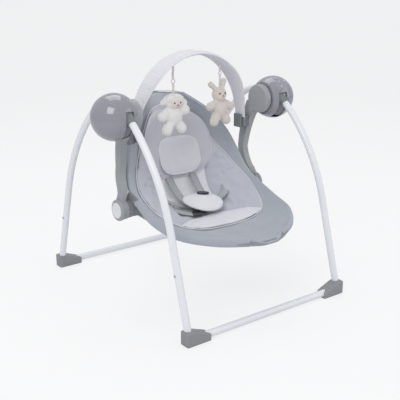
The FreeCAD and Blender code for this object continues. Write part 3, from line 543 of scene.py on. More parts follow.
def dotted_material(settings):
    """Pale cotton with a small printed dot."""
    nodes = Nodes("dotted_cotton")
    place = nodes.cloth_place()
    thread = weave_height(nodes, place, 0.0009)
    ground = cloth_tint(nodes, settings.bar_cloth, place, thread, 0.05)
    cell = nodes.add("ShaderNodeTexVoronoi", {"Vector": place, "Scale": 105.0, "Randomness": 0.35},
                     voronoi_dimensions="2D")
    dot = nodes.span(cell.outputs["Distance"], 0.13, 0.17, 1.0, 0.0)
    colour = nodes.mix(dot, ground, shade(settings.bar_dot, 1.0))
    nodes.set(Base_Color=colour, Roughness=0.9, Sheen_Weight=0.3, Specular_IOR_Level=0.25)
    nodes.bump(thread, 0.35, 0.0003)
    return nodes.material


def plush_material(name, colour, patch=None):
    """Short curly pile, with painted shade in the hollows at its roots. patch is a second colour on a
    painted area.
    """
    nodes = Nodes(name)
    place = nodes.object_place()
    curl = nodes.noise(place, 420.0, 4.0, 0.65)
    pile = nodes.noise(place, 1600.0, 2.0)
    base = shade(colour, 1.0)
    if patch is not None:
        base = nodes.mix(nodes.attribute("patch"), base, shade(patch, 1.0))
    depth = nodes.math("ADD", curl, nodes.math("MULTIPLY", pile, 0.5))
    # painted shade: the low places between the curls are multiplied darker
    dark = nodes.mix(1.0, base, (0.68, 0.66, 0.64, 1.0), "MULTIPLY")
    colour_out = nodes.mix(nodes.span(depth, 0.5, 0.85), dark, base)
    nodes.set(Base_Color=colour_out, Roughness=0.97, Sheen_Weight=0.55, Sheen_Roughness=0.6,
              Specular_IOR_Level=0.1)
    nodes.bump(depth, 0.8, 0.0012)
    return nodes.material


def edge_wear(nodes, colour, amount, light=1.35):
    """Scuffs: paler where fine scratches and rubbed patches meet."""
    place = nodes.object_place()
    rubbed = nodes.noise(place, 14.0, 6.0, 0.7)
    lines = nodes.noise(nodes.add("ShaderNodeMapping", {"Vector": place, "Scale": (60, 900, 260)}
                                  ).outputs[0], 1.0, 3.0)
    where = nodes.math("MULTIPLY", nodes.span(rubbed, 0.55, 0.8), nodes.span(lines, 0.55, 0.7))
    return nodes.mix(nodes.math("MULTIPLY", where, amount), shade(colour, 1.0), shade(colour, light))


def plastic_material(name, colour, roughness=0.3, grain=0.15, wear=0.35, coat=0.0):
    nodes = Nodes(name)
    place = nodes.object_place()
    fine = nodes.noise(place, 1500.0, 2.0)
    cloud = nodes.noise(place, 9.0, 4.0)
    nodes.set(Base_Color=edge_wear(nodes, colour, wear),
              Roughness=nodes.span(cloud, 0.3, 0.7, roughness * 0.85, roughness * 1.2),
              Specular_IOR_Level=0.5, Coat_Weight=coat, Coat_Roughness=0.12)
    nodes.bump(fine, grain, 0.0002)
    return nodes.material


def enamel_material(name, colour):
    """Powder-coated tube: slight orange peel, small dark nicks."""
    nodes = Nodes(name)
    place = nodes.object_place()
    peel = nodes.noise(place, 380.0, 2.0)
    nick = nodes.span(nodes.noise(place, 55.0, 5.0, 0.7), 0.76, 0.79)
    nodes.set(Base_Color=nodes.mix(nick, shade(colour, 1.0), shade(colour, 0.45)),
              Roughness=nodes.span(nodes.noise(place, 12.0), 0.3, 0.7, 0.24, 0.36),
              Coat_Weight=0.3, Coat_Roughness=0.15)
    nodes.bump(peel, 0.12, 0.0003)
    return nodes.material


def rubber_material(name, colour):
    nodes = Nodes(name)
    place = nodes.object_place()
    grain = nodes.noise(place, 900.0, 3.0)
    dust = nodes.noise(place, 22.0, 5.0)
    colour_out = nodes.mix(nodes.span(dust, 0.5, 0.75, 0.0, 0.35), shade(colour, 1.0),
                           shade(colour, 1.4))
    nodes.set(Base_Color=colour_out, Roughness=nodes.span(dust, 0.3, 0.7, 0.55, 0.75),
              Specular_IOR_Level=0.35)
    nodes.bump(grain, 0.35, 0.0003)
    return nodes.material


def metal_material(name, colour, roughness, brushed=True):
    nodes = Nodes(name)
    place = nodes.object_place()
    stretch = (40, 1400, 1400) if brushed else (300, 300, 300)
    lines = nodes.noise(nodes.add("ShaderNodeMapping", {"Vector": place, "Scale": stretch}
                                  ).outputs[0], 1.0, 3.0)
    colour_out = nodes.mix(nodes.span(lines, 0.3, 0.7), shade(colour, 0.8), shade(colour, 1.1))
    nodes.set(Base_Color=colour_out, Metallic=1.0,
              Roughness=nodes.span(lines, 0.3, 0.7, roughness * 0.8, roughness * 1.3))
    nodes.bump(lines, 0.15, 0.0002)
    return nodes.material


def wound_material():
    """Enamelled copper wire wound round the axle's direction, with painted shade in the grooves between the
    turns.
    """
    nodes = Nodes("copper_winding")
    place = nodes.object_place()
    split = nodes.add("ShaderNodeSeparateXYZ", {"Vector": place})
    turn = nodes.math("SINE", nodes.math("MULTIPLY", split.outputs[0], 2 * math.pi / 0.0006))
    # painted shade: the grooves between the turns are near-black brown, the tops bright copper
    colour = nodes.mix(nodes.span(turn, -1.0, 0.2), (0.20, 0.07, 0.03, 1), (0.72, 0.34, 0.16, 1))
    nodes.set(Base_Color=colour, Metallic=0.9, Roughness=nodes.span(turn, -1, 1, 0.5, 0.28))
    nodes.bump(turn, 0.6, 0.0003)
    return nodes.material


def board_material():
    """Green solder mask with paler traces and pads."""
    nodes = Nodes("board_mask")
    place = nodes.object_place()
    cell = nodes.add("ShaderNodeTexVoronoi", {"Vector": place, "Scale": 260.0, "Randomness": 0.4},
                     distance="CHEBYCHEV", feature="DISTANCE_TO_EDGE")
    trace = nodes.span(cell.outputs["Distance"], 0.04, 0.07, 1.0, 0.0)
    pads = nodes.span(nodes.noise(place, 300.0, 1.0), 0.68, 0.7)
    colour = nodes.mix(nodes.math("MULTIPLY", trace, 0.6), (0.02, 0.13, 0.06, 1), (0.08, 0.32, 0.15, 1))
    colour = nodes.mix(pads, colour, (0.55, 0.50, 0.38, 1))
    nodes.set(Base_Color=colour, Roughness=nodes.span(trace, 0.0, 1.0, 0.3, 0.42))
    nodes.bump(trace, 0.3, 0.0002)
    return nodes.material


# ---- stitches, made by geometry nodes ----
def stitch_tree():
    """Short threads set along a curve, a pitch apart and turned along it."""
    tree = bpy.data.node_groups.new("row_of_stitches", "GeometryNodeTree")
    face = tree.interface
    face.new_socket("Geometry", in_out="INPUT", socket_type="NodeSocketGeometry")
    for name, value in (("Pitch", 0.0045), ("Length", 0.003), ("Radius", 0.0004)):
        socket = face.new_socket(name, in_out="INPUT", socket_type="NodeSocketFloat")
        socket.default_value = value
    face.new_socket("Material", in_out="INPUT", socket_type="NodeSocketMaterial")
    face.new_socket("Geometry", in_out="OUTPUT", socket_type="NodeSocketGeometry")
    source = tree.nodes.new("NodeGroupInput")
    result = tree.nodes.new("NodeGroupOutput")

    def add(kind, **settings):
        node = tree.nodes.new(kind)
        for key, value in settings.items():
            setattr(node, key, value)
        return node

    link = tree.links.new
    spaced = add("GeometryNodeResampleCurve")
    spaced.mode = "LENGTH"
    link(source.outputs["Geometry"], spaced.inputs["Curve"])
    link(source.outputs["Pitch"], spaced.inputs["Length"])
    thread = add("GeometryNodeMeshIcoSphere")
    thread.inputs["Radius"].default_value = 1.0
    thread.inputs["Subdivisions"].default_value = 1
    tangent = add("GeometryNodeInputTangent")
    turn = add("FunctionNodeAlignRotationToVector", axis="X")
    link(tangent.outputs[0], turn.inputs["Vector"])
    half = add("ShaderNodeMath", operation="MULTIPLY")
    half.inputs[1].default_value = 0.5
    link(source.outputs["Length"], half.inputs[0])
    scale = add("ShaderNodeCombineXYZ")
    link(half.outputs[0], scale.inputs[0])
    link(source.outputs["Radius"], scale.inputs[1])
    link(source.outputs["Radius"], scale.inputs[2])
    place = add("GeometryNodeInstanceOnPoints")
    link(spaced.outputs[0], place.inputs["Points"])
    link(thread.outputs["Mesh"], place.inputs["Instance"])
    link(turn.outputs[0], place.inputs["Rotation"])
    link(scale.outputs[0], place.inputs["Scale"])
    real = add("GeometryNodeRealizeInstances")
    link(place.outputs[0], real.inputs[0])
    painted = add("GeometryNodeSetMaterial")
    link(real.outputs[0], painted.inputs["Geometry"])
    link(source.outputs["Material"], painted.inputs["Material"])
    link(painted.outputs[0], result.inputs[0])
    return tree


def set_inputs(modifier, **values):
    for item in modifier.node_group.interface.items_tree:
        if item.item_type == "SOCKET" and item.in_out == "INPUT" and item.name in values:
            modifier[item.identifier] = values[item.name]


def stitches(name, lines, material, body, slot, pitch, length=0.003, radius=0.00042):
    """Rows of thread along the given lines, as one mesh."""
    tree = bpy.data.node_groups.get("row_of_stitches") or stitch_tree()
    curve = bpy.data.curves.new(name, "CURVE")
    curve.dimensions = "3D"
    for line in lines:
        spline = curve.splines.new("POLY")
        spline.points.add(len(line) - 1)
        spline.points.foreach_set("co", np.c_[line, np.ones(len(line))].ravel())
    source = bpy.data.objects.new(name + "_line", curve)
    bpy.context.collection.objects.link(source)
    modifier = source.modifiers.new("stitches", "NODES")
    modifier.node_group = tree
    set_inputs(modifier, Pitch=pitch, Length=length, Radius=radius, Material=material)
    graph = bpy.context.evaluated_depsgraph_get()
    mesh = bpy.data.meshes.new_from_object(source.evaluated_get(graph), depsgraph=graph)
    mesh.name = name
    bpy.data.objects.remove(source)
    mesh.shade_smooth()
    obj = bpy.data.objects.new(name, mesh)
    bpy.context.collection.objects.link(obj)
    return finish(obj, body, slot)


# ---- stage ----
class SWING_OT_stage(bpy.types.Operator):
    """Set up the camera, the pale floor and the soft studio lamps"""
    bl_idname = "swing.stage"
    bl_label = "Stage"

    def execute(self, context):
        stage = context.scene.swing_stage
        scene = context.scene
        scene.view_settings.view_transform = "Standard"
        data = bpy.data.cameras.new("camera")
        data.lens = stage.lens
        data.sensor_width = 36
        camera = bpy.data.objects.new("camera", data)
        flat = math.cos(stage.elevation) * stage.distance
        back = Vector((math.sin(stage.azimuth) * flat, -math.cos(stage.azimuth) * flat,
                       math.sin(stage.elevation) * stage.distance))
        camera.location = Vector(stage.target) + back
        camera.rotation_euler = (-back).to_track_quat("-Z", "Y").to_euler()
        scene.collection.objects.link(camera)
        scene.camera = camera
        self.floor(stage)
        self.lamps(scene)
        return {"FINISHED"}

    def floor(self, stage):
        reach = 60.0
        corners = [(-reach, -reach, 0), (reach, -reach, 0), (reach, reach, 0), (-reach, reach, 0)]
        nodes = Nodes("floor_paint")
        cloud = nodes.noise(nodes.object_place(), 1.3, 2.0)
        nodes.set(Base_Color=nodes.mix(cloud, shade(stage.floor, 0.99), shade(stage.floor, 1.01)),
                  Roughness=0.8, Specular_IOR_Level=0.2)
        seen = nodes.add("ShaderNodeLightPath").outputs["Is Camera Ray"]
        glow = nodes.add("ShaderNodeEmission", {"Color": (1, 1, 1, 1), "Strength": 1.0})
        blend = nodes.add("ShaderNodeMixShader", {0: nodes.math("MULTIPLY", seen, 0.74),
                                                  1: nodes.shader.outputs[0], 2: glow.outputs[0]})
        output = nodes.tree.nodes["Material Output"]
        nodes.tree.links.new(blend.outputs[0], output.inputs["Surface"])
        floor = new_object("floor", corners, [(0, 1, 2, 3)], [nodes.material], outward=False)

    def lamps(self, scene):
        world = bpy.data.worlds.new("studio")
        scene.world = world
        world.use_nodes = True
        tree = world.node_tree
        back = tree.nodes["Background"]
        back.inputs["Color"].default_value = (0.93, 0.95, 1.0, 1)
        back.inputs["Strength"].default_value = 0.62
        white = tree.nodes.new("ShaderNodeBackground")
        white.inputs["Color"].default_value = (1, 1, 1, 1)
        white.inputs["Strength"].default_value = 1.0
        path = tree.nodes.new("ShaderNodeLightPath")
        blend = tree.nodes.new("ShaderNodeMixShader")
        tree.links.new(path.outputs["Is Camera Ray"], blend.inputs[0])
        tree.links.new(back.outputs[0], blend.inputs[1])
        tree.links.new(white.outputs[0], blend.inputs[2])
        tree.links.new(blend.outputs[0], tree.nodes["World Output"].inputs[0])
        for name, place, power, width in (("key", (-1.9, -1.3, 2.3), 24.0, 1.4),
                                          ("fill", (1.9, -1.9, 1.3), 9.0, 1.8),
                                          ("top", (0.3, 0.9, 2.6), 14.0, 1.6)):
            lamp = bpy.data.lights.new(name, "AREA")
            lamp.energy = power
            lamp.size = width
            holder = bpy.data.objects.new(name, lamp)
            holder.location = place
            aim = Vector((0, 0, 0.35)) - Vector(place)
            holder.rotation_euler = aim.to_track_quat("-Z", "Y").to_euler()
            scene.collection.objects.link(holder)


# ---- carried-over frame parts ----
def paired(*names):
    return [name + side for name in names for side in ("_left", "_right")]


class SWING_OT_frame_finish(bpy.types.Operator):
    """Finish the tubes, feet, hubs, arms and fittings"""
    bl_idname = "swing.frame_finish"
    bl_label = "Frame finishes"

    def execute(self, context):
        look = context.scene.swing_frame
        steel = metal_material("brushed_steel", (0.62, 0.63, 0.65), 0.3)
        hub = plastic_material("hub_gloss", look.hub, 0.11, 0.06, look.wear * 0.4, 0.7)
        arm = plastic_material("arm_satin", look.arm, 0.32, 0.15, look.wear)
        clip = plastic_material("clip_matt", look.clip, 0.5, 0.3, look.wear)
        button = plastic_material("button_white", (0.82, 0.82, 0.84), 0.3, 0.1, 0.1)
        key = plastic_material("key_pale", shade(look.hub, 1.5)[:3], 0.25, 0.06, 0.1)
        base = plastic_material("base_grey", (0.25, 0.26, 0.27), 0.38, 0.2, look.wear)
        finishes = [
            (enamel_material("white_enamel", look.enamel),
             paired("front_leg", "rear_leg") + ["front_lower_tube", "rear_lower_tube"]),
            (rubber_material("foot_rubber", look.rubber), paired("front_foot", "rear_foot")),
            (steel, ["front_leg_screws", "rear_leg_screws", "hub_screws", "swing_axles"]),
            (hub, paired("hub_shell", "hub_cover") + ["battery_door"]),
            (plastic_material("panel_gloss", shade(look.hub, 1.15)[:3], 0.2, 0.05, 0.1, 0.3),
             ["control_panel"]),
            (arm, paired("swing_arm", "recline_cover")),
            (clip, paired("toy_clip", "leg_pivot") + ["magnet_lever", "battery_tray"]),
            (button, paired("fold_button", "recline_button")),
            (key, ["power_button", "speed_button", "timer_button", "melody_button"]),
            (base, paired("seat_bracket") + ["seat_crossbar"]),
            (metal_material("rim_rod", (0.42, 0.43, 0.45), 0.35), ["seat_rim"]),
            (plastic_material("bearing_white", (0.75, 0.75, 0.72), 0.4, 0.1, 0.1), ["axle_bushes"]),
            (metal_material("magnet_plating", (0.75, 0.76, 0.78), 0.12, False), ["drive_magnet"]),
            (wound_material(), ["drive_coil"]),
            (board_material(), ["circuit_board"]),
            (plastic_material("speaker_black", (0.02, 0.02, 0.022), 0.6, 0.5, 0.2), ["speaker"]),
            (metal_material("cell_jacket", (0.10, 0.11, 0.13), 0.3), ["battery_cells"]),
            (plastic_material("buckle_dark", (0.035, 0.037, 0.042), 0.32, 0.2, 0.25), ["buckle"]),
            (plastic_material("key_grey", (0.22, 0.23, 0.24), 0.35, 0.2, 0.2), ["buckle_button"]),
        ]
        for material, nodes in finishes:
            for node in nodes:
                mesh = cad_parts[node].data
                mesh.materials.clear()
                mesh.materials.append(material)
        return {"FINISHED"}


# ---- seat cover ----
def cover_lift(s, u):
    """Thin foam of the cover, with a groove beside the liner and one under the rim sleeve."""
    groove = np.exp(-((np.abs(u) - 0.965) / 0.012) ** 2)
    wave = 0.0012 * np.sin(7.0 * s + 5.0 * u) * np.sin(3.1 * s - 9.0 * u)
    return wave * (1 - smooth_step(np.abs(u), 0.85, 0.95)) - 0.0018 * groove


def cover_profile(s, across, around):
    """One closed loop of the cover: inner face, rim sleeve, outer face, rim sleeve."""
    u = np.linspace(-1, 1, across)
    inner = seat_point(s, u, cover_lift(s, u))
    hem = smooth_step(np.abs(u), 0.90, 1.0)
    outer = seat_point(s, u, -(COVER_T + (2 * SLEEVE_REACH - COVER_T) * hem))
    loops = []
    turn = np.linspace(0, math.pi, around + 2)[1:-1]
    for side in (1, -1):
        edge = seat_point(s, float(side))
        into = seat_point(s, float(side), -SLEEVE_REACH) - edge
        into /= np.linalg.norm(into)
        rise = seat_point(s, side * 1.0) - seat_point(s, side * 0.985)
        rise -= into * (rise @ into)
        rise /= np.linalg.norm(rise)
        centre = edge + into * SLEEVE_REACH
        arc = (centre - SLEEVE_REACH * np.cos(turn)[:, None] * into
               + SLEEVE_RISE * np.sin(turn)[:, None] * rise)
        loops.append((centre, arc))
    (right_centre, right_arc), (left_centre, left_arc) = loops
    loop = np.concatenate([inner, right_arc, outer[::-1], left_arc[::-1]])
    middle = (inner + outer) / 2
    core = np.concatenate([middle, np.tile(right_centre, (around, 1)), middle[::-1],
                           np.tile(left_centre, (around, 1))])
    share = np.concatenate([u, np.ones(around), u[::-1], -np.ones(around)])
    return loop, core, share


def end_rows(s, ahead, reach, across, around, steps):
    """Rows that close an end of the cover round the rim rod's end bend."""
    loop, core, share = cover_profile(s, across, around)
    rows = []
    for k in range(1, steps + 1):
        angle = k / steps * math.pi / 2
        bulge = reach * (1 - np.abs(share) ** 3)[:, None] * math.sin(angle) * np.array(ahead)
        rows.append(core + (loop - core) * math.cos(angle) + bulge)
    return rows


class SWING_OT_seat_cover(bpy.types.Operator):
    """Make the slate cloth cover that is sleeved over the seat's rim"""
    bl_idname = "swing.seat_cover"
    bl_label = "Seat cover"

    def execute(self, context):
        settings = context.scene.swing_seat
        across, around, steps, per_station = 91, 7, 6, 14
        material = cloth_material("slate_cloth", settings.slate, 0.0012)
        places = np.linspace(0, LAST, LAST * per_station + 1)
        front = end_rows(0.0, (0, -1, 0.1), 0.0205, across, around, steps)[::-1]
        body = [cover_profile(s, across, around)[0] for s in places]
        top = end_rows(float(LAST), (0, 0.97, 0.2), 0.0225, across, around, steps)
        rows = np.array(front + body + top)
        count = rows.shape[1]
        points = rows.reshape(-1, 3)
        wave = ripple(points, 14.0, 3.0, (1.0, 0.7, 1.3)) * 0.0011
        points = points + wave[:, None] * np.array((0.3, 0.5, 0.6))
        faces = grid_faces(len(rows), count, False, True)
        share = np.tile(np.linspace(0, 1, count), len(rows))
        length = np.repeat(np.arange(len(rows)) * 0.0046, count)
        cover = new_object("seat_cover_cloth", points, faces, [material],
                           np.stack([share * 0.9, length], 1))
        tidy_mesh(cover, 2e-5)
        self.ease_ends(cover)
        finish(cover, "seat", "slate_cloth", "seat_cover")
        thread = cloth_material("slate_thread", shade(settings.slate, 1.25)[:3], 0.0006)
        lines = []
        at = np.linspace(0.3, LAST - 0.3, 160)
        for side in (-1, 1):
            lines.append(seat_point(at, side * EDGE_SEAM, 0.0010))
        stitches("cover_stitches", lines, thread, "seat", "slate_cloth", settings.stitch_pitch)
        return {"FINISHED"}


    def ease_ends(self, cover):
        """Smooths the cloth where it turns round the ends of the rim."""
        y = coordinates(cover)[:, 1]
        share = np.maximum(1 - smooth_step(y, -0.325, -0.285), smooth_step(y, 0.165, 0.195))
        group = cover.vertex_groups.new(name="ends")
        for index in np.nonzero(share > 0.01)[0]:
            group.add([int(index)], float(share[index]), "REPLACE")
        ease = cover.modifiers.new("ease", "SMOOTH")
        ease.factor = 0.5
        ease.iterations = 5
        ease.vertex_group = group.name
        apply_modifiers(cover)


# ---- liner ----
def liner_share(s):
    """Half width of the liner at s, as a share of the bucket's."""
    table = along(np.array(LINER_EDGE), np.linspace(0, len(LINER_EDGE) - 1, 200))
    order = np.argsort(table[:, 0])
    return np.interp(s, table[order, 0], np.clip(table[order, 1], 0, 1))


LINER_LOW, LINER_HIGH = LINER_EDGE[0][0], LINER_EDGE[-1][0]


def liner_place(p, q):
    """Bucket coordinates of a point of the liner's disc."""
    s = LINER_LOW + (LINER_HIGH - LINER_LOW) * (q + 1) / 2
    width = liner_share(s)
    round_off = np.sqrt(np.maximum(1 - q * q, 1e-4))
    inner = np.clip(p / round_off, -1, 1)
    return s, inner * width


def panel_distance(s, u):
    """How far inside the mesh panel and the front band a place is, in metres."""
    flat = flat_place(s, u)
    half = np.interp(s, (3.4, 4.4, 5.6, 7.6), (0.062, 0.086, 0.100, 0.070))
    ends = np.minimum(flat[..., 1] - flat_place(np.array(3.7), 0.0)[1],
                      flat_place(np.array(7.9), 0.0)[1] - flat[..., 1])
    mesh = np.minimum(half - np.abs(flat[..., 0]), ends)
    inner = 3.35 - 0.85 * (u / 0.8) ** 2
    band = flat_place(inner, u)[..., 1] - flat[..., 1]
    return mesh, band


class SWING_OT_liner(bpy.types.Operator):
    """Make the padded liner with its mesh panel, front band and piping"""
    bl_idname = "swing.liner"
    bl_label = "Seat liner"

    def execute(self, context):
        settings = context.scene.swing_seat
        crown_t = settings.liner_t

        def place(p, q, lift):
            s, u = liner_place(p, q)
            return seat_point(s, u, lift)

        def crown(p, q):
            s, u = liner_place(p, q)
            mesh, _ = panel_distance(s, u)
            thin = 1 - 0.45 * smooth_step(mesh, 0.0, 0.012)
            return crown_t * thin * (0.72 + 0.28 * (1 - q * q))

        points, faces, disc, upper = pad_sheet(84, 112, place, crown, 0.0012)
        s, u = liner_place(disc[:, 0], disc[:, 1])
        mesh, band = panel_distance(s, u)
        seam = np.exp(-(mesh / 0.0035) ** 2) + np.exp(-(band / 0.0035) ** 2)
        seam = np.clip(seam, 0, 1) * upper
        liner = new_object("seat_liner_cloth", points, faces, [liner_material(settings)],
                           flat_place(s, u), outward=True)
        self.store(liner, mesh, band, seam)
        hold = np.where(upper, np.clip(seam * 1.4, 0, 1), 1.0)
        inflate(liner, hold, 0.006, 3.0)
        self.sew(liner, seam, s, u)
        subdivide(liner)
        finish(liner, "seat", "lilac_cloth", "seat_liner")
        self.edges(settings)
        return {"FINISHED"}

    def store(self, obj, mesh, band, seam):
        for key, numbers in (("mesh_panel", mesh), ("front_band", band), ("sewn", seam)):
            obj.data.attributes.new(key, "FLOAT", "POINT").data.foreach_set("value", numbers)

    def sew(self, obj, seam, s, u):
        """Draws the cloth down along its seams."""
        place = np.zeros(len(obj.data.vertices) * 3)
        obj.data.vertices.foreach_get("co", place)
        place = place.reshape(-1, 3)
        into = seat_point(s, u, 0.01) - seat_point(s, u, 0.0)
        into /= np.linalg.norm(into, axis=1)[:, None]
        loose = smooth_step(np.abs(u), 0.25, 0.55) * (1 - smooth_step(np.abs(u), 0.85, 0.98))
        crease = ripple(place, 26.0, 5.0, (0.6, 1.4, 1.4)) * 0.0014
        fold = 1 - np.abs(ripple(place, 17.0, 21.0, (2.2, 0.7, 1.5)))
        crease = (crease + 0.0055 * loose * (fold ** 5 - 0.3)) * (1 - seam)
        place += into * (crease - 0.0045 * seam)[:, None]
        obj.data.vertices.foreach_set("co", place.ravel())
        obj.data.update()

    def edges(self, settings):
        cord = cloth_material("piping_pale", settings.band_white, 0.0010)
        turn = np.linspace(0, 2 * math.pi, 240, endpoint=False)
        s, u = liner_place(np.sin(turn) * 0.999, np.cos(turn) * 0.999)
        line = seat_point(s, u, 0.0028)
        edge = piping("liner_piping", line, 0.0017, cord)
        finish(edge, "seat", "lilac_cloth")
        thread = cloth_material("lilac_thread", shade(settings.lilac, 1.3)[:3], 0.0006)
        across = np.linspace(-0.74, 0.74, 60)
        inner = 3.35 - 0.85 * (across / 0.8) ** 2
        band_line = seat_point(inner + 0.07, across, settings.liner_t + 0.0012)
        stitches("band_stitches", [band_line], thread, "seat", "lilac_cloth", settings.stitch_pitch)


# ---- head pad and its cushion ----
def pad_outline(p, q, middle, half, width, taper=0.0):
    """Bucket coordinates over a round-cornered pad; taper narrows its lower end."""
    s = middle + half * q
    wide = width * (1 + taper * q)
    return s, p * wide


def squircle(p, q):
    """Spreads the unit disc towards a rounded square."""
    radius = np.hypot(p, q)
    angle = np.arctan2(q, p)
    power = 3.4
    stretch = (np.abs(np.cos(angle)) ** power + np.abs(np.sin(angle)) ** power) ** (-1 / power)
    return radius * stretch * np.cos(angle), radius * stretch * np.sin(angle)


class SWING_OT_head_pad(bpy.types.Operator):
    """Make the head pad and the cushion sewn to its middle"""
    bl_idname = "swing.head_pad"
    bl_label = "Head pad"

    def execute(self, context):
        settings = context.scene.swing_seat
        self.pad("head_pad_cushion", "head_pad", "pad_cloth", settings.pad_lilac, (6.82, 1.38, 0.74, 0.10),
                 0.0140, settings.head_t, 0.012, 0.55, 60)
        self.pad("neck_cushion_pad", "neck_cushion", "pad_cloth", settings.centre_grey,
                 (6.22, 0.74, 0.44, 0.04), 0.0325, settings.neck_t, 0.007, 0.6, 48)
        return {"FINISHED"}

    def pad(self, name, node, slot, colour, outline, base, thick, cap, fill, cells):
        middle, half, width, taper = outline

        def place(p, q, lift):
            a, b = squircle(p, q)
            s, u = pad_outline(a, b, middle, half, width, taper)
            return seat_point(s, u, lift)

        def crown(p, q):
            return thick * (0.8 + 0.2 * (1 - p * p) * (1 - q * q))

        points, faces, disc, upper = pad_sheet(cells, cells, place, crown, base)
        a, b = squircle(disc[:, 0], disc[:, 1])
        s, u = pad_outline(a, b, middle, half, width, taper)
        material = cloth_material(name + "_cloth", colour, 0.0011, 0.07)
        pad = new_object(name, points, faces, [material], flat_place(s, u))
        rim = smooth_step(np.hypot(disc[:, 0], disc[:, 1]), 0.93, 1.0)
        inflate(pad, np.where(upper, rim, 1.0), cap)
        subdivide(pad)
        finish(pad, "seat", slot, node)
        turn = np.linspace(0, 2 * math.pi, 200, endpoint=False)
        a, b = squircle(np.cos(turn), np.sin(turn))
        s, u = pad_outline(a, b, middle, half, width, taper)
        edge = piping(name + "_piping", seat_point(s, u, base + thick * 0.25), 0.0017,
                      cloth_material(name + "_piping_cloth", shade(colour, 1.18)[:3], 0.0009))
        finish(edge, "seat", slot)


# ---- harness ----
def strap_mesh(path, across, width, thick):
    """Points, faces and cloth coordinates of a flat strap with rounded edges."""
    line = along(path, np.linspace(0, len(path) - 1, 14 * (len(path) - 1) + 1))
    ahead = np.gradient(line, axis=0)
    ahead /= np.linalg.norm(ahead, axis=1)[:, None]
    side = np.broadcast_to(np.asarray(across, float), line.shape)
    side = side - ahead * (side * ahead).sum(1)[:, None]
    side /= np.linalg.norm(side, axis=1)[:, None]
    up = np.cross(side, ahead)
    half, rise = width / 2, thick / 2
    section = [(-half, 0), (-half + 0.4 * MM, rise), (-half / 3, rise), (half / 3, rise),
               (half - 0.4 * MM, rise), (half, 0), (half - 0.4 * MM, -rise), (half / 3, -rise),
               (-half / 3, -rise), (-half + 0.4 * MM, -rise)]
    points = np.concatenate([line + a * side + b * up for a, b in section], axis=1)
    points = points.reshape(len(line), len(section), 3).reshape(-1, 3)
    run = np.concatenate([[0], np.cumsum(np.linalg.norm(np.diff(line, axis=0), axis=1))])
    uv = np.array([(a, r) for r in run for a, _ in section])
    count = len(section)
    faces = grid_faces(len(line), count, False, True)
    faces.append(tuple(range(count)))
    faces.append(tuple(range((len(line) - 1) * count, len(line) * count))[::-1])
    edges = [line + side * s * (half - 2.2 * MM) + up * (rise + 0.15 * MM) for s in (-1, 1)]
    return points, faces, uv, edges


def join_meshes(parts):
    """Stacks (points, faces, uv) pieces into one."""
    points, faces, uv, start = [], [], [], 0
    for piece_points, piece_faces, piece_uv in parts:
        points.append(piece_points)
        uv.append(piece_uv)
        faces += [tuple(i + start for i in face) for face in piece_faces]
        start += len(piece_points)
    return np.concatenate(points), faces, np.concatenate(uv)


PAD_CENTRE = np.array((0.0, -50.0, 272.0)) * MM
PAD_RADIUS = 61 * MM
PAD_TILT = math.radians(8)
PAD_T = 14 * MM
PAD_FLAT = np.array((0.0, math.cos(PAD_TILT), math.sin(PAD_TILT)))
PAD_UP = np.array((0.0, -math.sin(PAD_TILT), math.cos(PAD_TILT)))


class SWING_OT_harness(bpy.types.Operator):
    """Make the shoulder, waist and crotch straps"""
    bl_idname = "swing.harness"
    bl_label = "Harness straps"

    def execute(self, context):
        settings = context.scene.swing_seat
        material = webbing_material("grey_webbing", settings.webbing)
        parts, threads = [], []
        for side in (-1, 1):
            top = seat_point(5.85, side * 0.24, 0.013)
            shoulder = [top, (side * 0.0445, 0.061, 0.3205), (side * 0.0435, 0.037, 0.2950),
                        (side * 0.0410, 0.012, 0.2745), (side * 0.0380, -0.014, 0.2630)]
            self.strap(parts, threads, shoulder, (1, 0, 0), settings)
        left_hip = seat_point(4.55, -0.60, 0.010)
        left = [left_hip, (-0.098, -0.006, 0.272), (-0.066, -0.022, 0.259), (-0.030, -0.032, 0.2505)]
        self.strap(parts, threads, left, (0.25, 0.95, 0.12), settings)
        loose = [seat_point(4.25, -0.55, 0.0125), (-0.096, -0.052, 0.2535), (-0.074, -0.076, 0.2480),
                 (-0.056, -0.088, 0.2470)]
        self.strap(parts, threads, loose, (0.45, 0.85, 0.1), settings)
        self.tongue((-0.064, -0.0835, 0.2475), (-0.026, -0.0985, 0.2465))
        right_hip = seat_point(4.45, 0.57, 0.011)
        right = [right_hip, (0.110, -0.014, 0.2790), (0.098, -0.030, 0.2730), (0.062, -0.036, 0.2580),
                 (0.030, -0.034, 0.2520)]
        self.strap(parts, threads, right, (0.15, 0.9, 0.35), settings)
        crotch = [seat_point(2.95, 0.0, 0.009), (0, -0.098, 0.2375), (0, -0.080, 0.2400),
                  (0, -0.062, 0.2425)]
        self.strap(parts, threads, crotch, (1, 0, 0), settings)
        points, faces, uv = join_meshes(parts)
        straps = new_object("harness_webbing", points, faces, [material], uv)
        finish(straps, "seat", "grey_webbing", "harness_straps", "crotch_strap")
        thread = cloth_material("strap_thread", shade(settings.webbing, 1.6)[:3], 0.0006)
        stitches("strap_stitches", threads, thread, "seat", "grey_webbing", 0.0038, 0.0026, 0.0003)
        return {"FINISHED"}

    def tongue(self, start, end):
        """Dark plastic tongue on the waist strap's loose end."""
        line = np.linspace(start, end, 6)
        parts = []
        for first, last, width, thick in ((0, 3, 0.030, 0.0052), (3, 5, 0.014, 0.0034)):
            points, faces, uv, _ = strap_mesh(line[first:last + 1], (0.35, 0.9, 0), width, thick)
            parts.append((points, faces, uv))
        points, faces, uv = join_meshes(parts)
        dark = plastic_material("tongue_dark", (0.05, 0.053, 0.06), 0.35, 0.2, 0.2)
        finish(new_object("strap_tongue", points, faces, [dark], uv), "seat", "buckle_grey")

    def strap(self, parts, threads, path, across, settings):
        points, faces, uv, edges = strap_mesh(np.array(path, float), across,
                                              settings.strap_w, settings.strap_t)
        parts.append((points, faces, uv))
        threads += edges


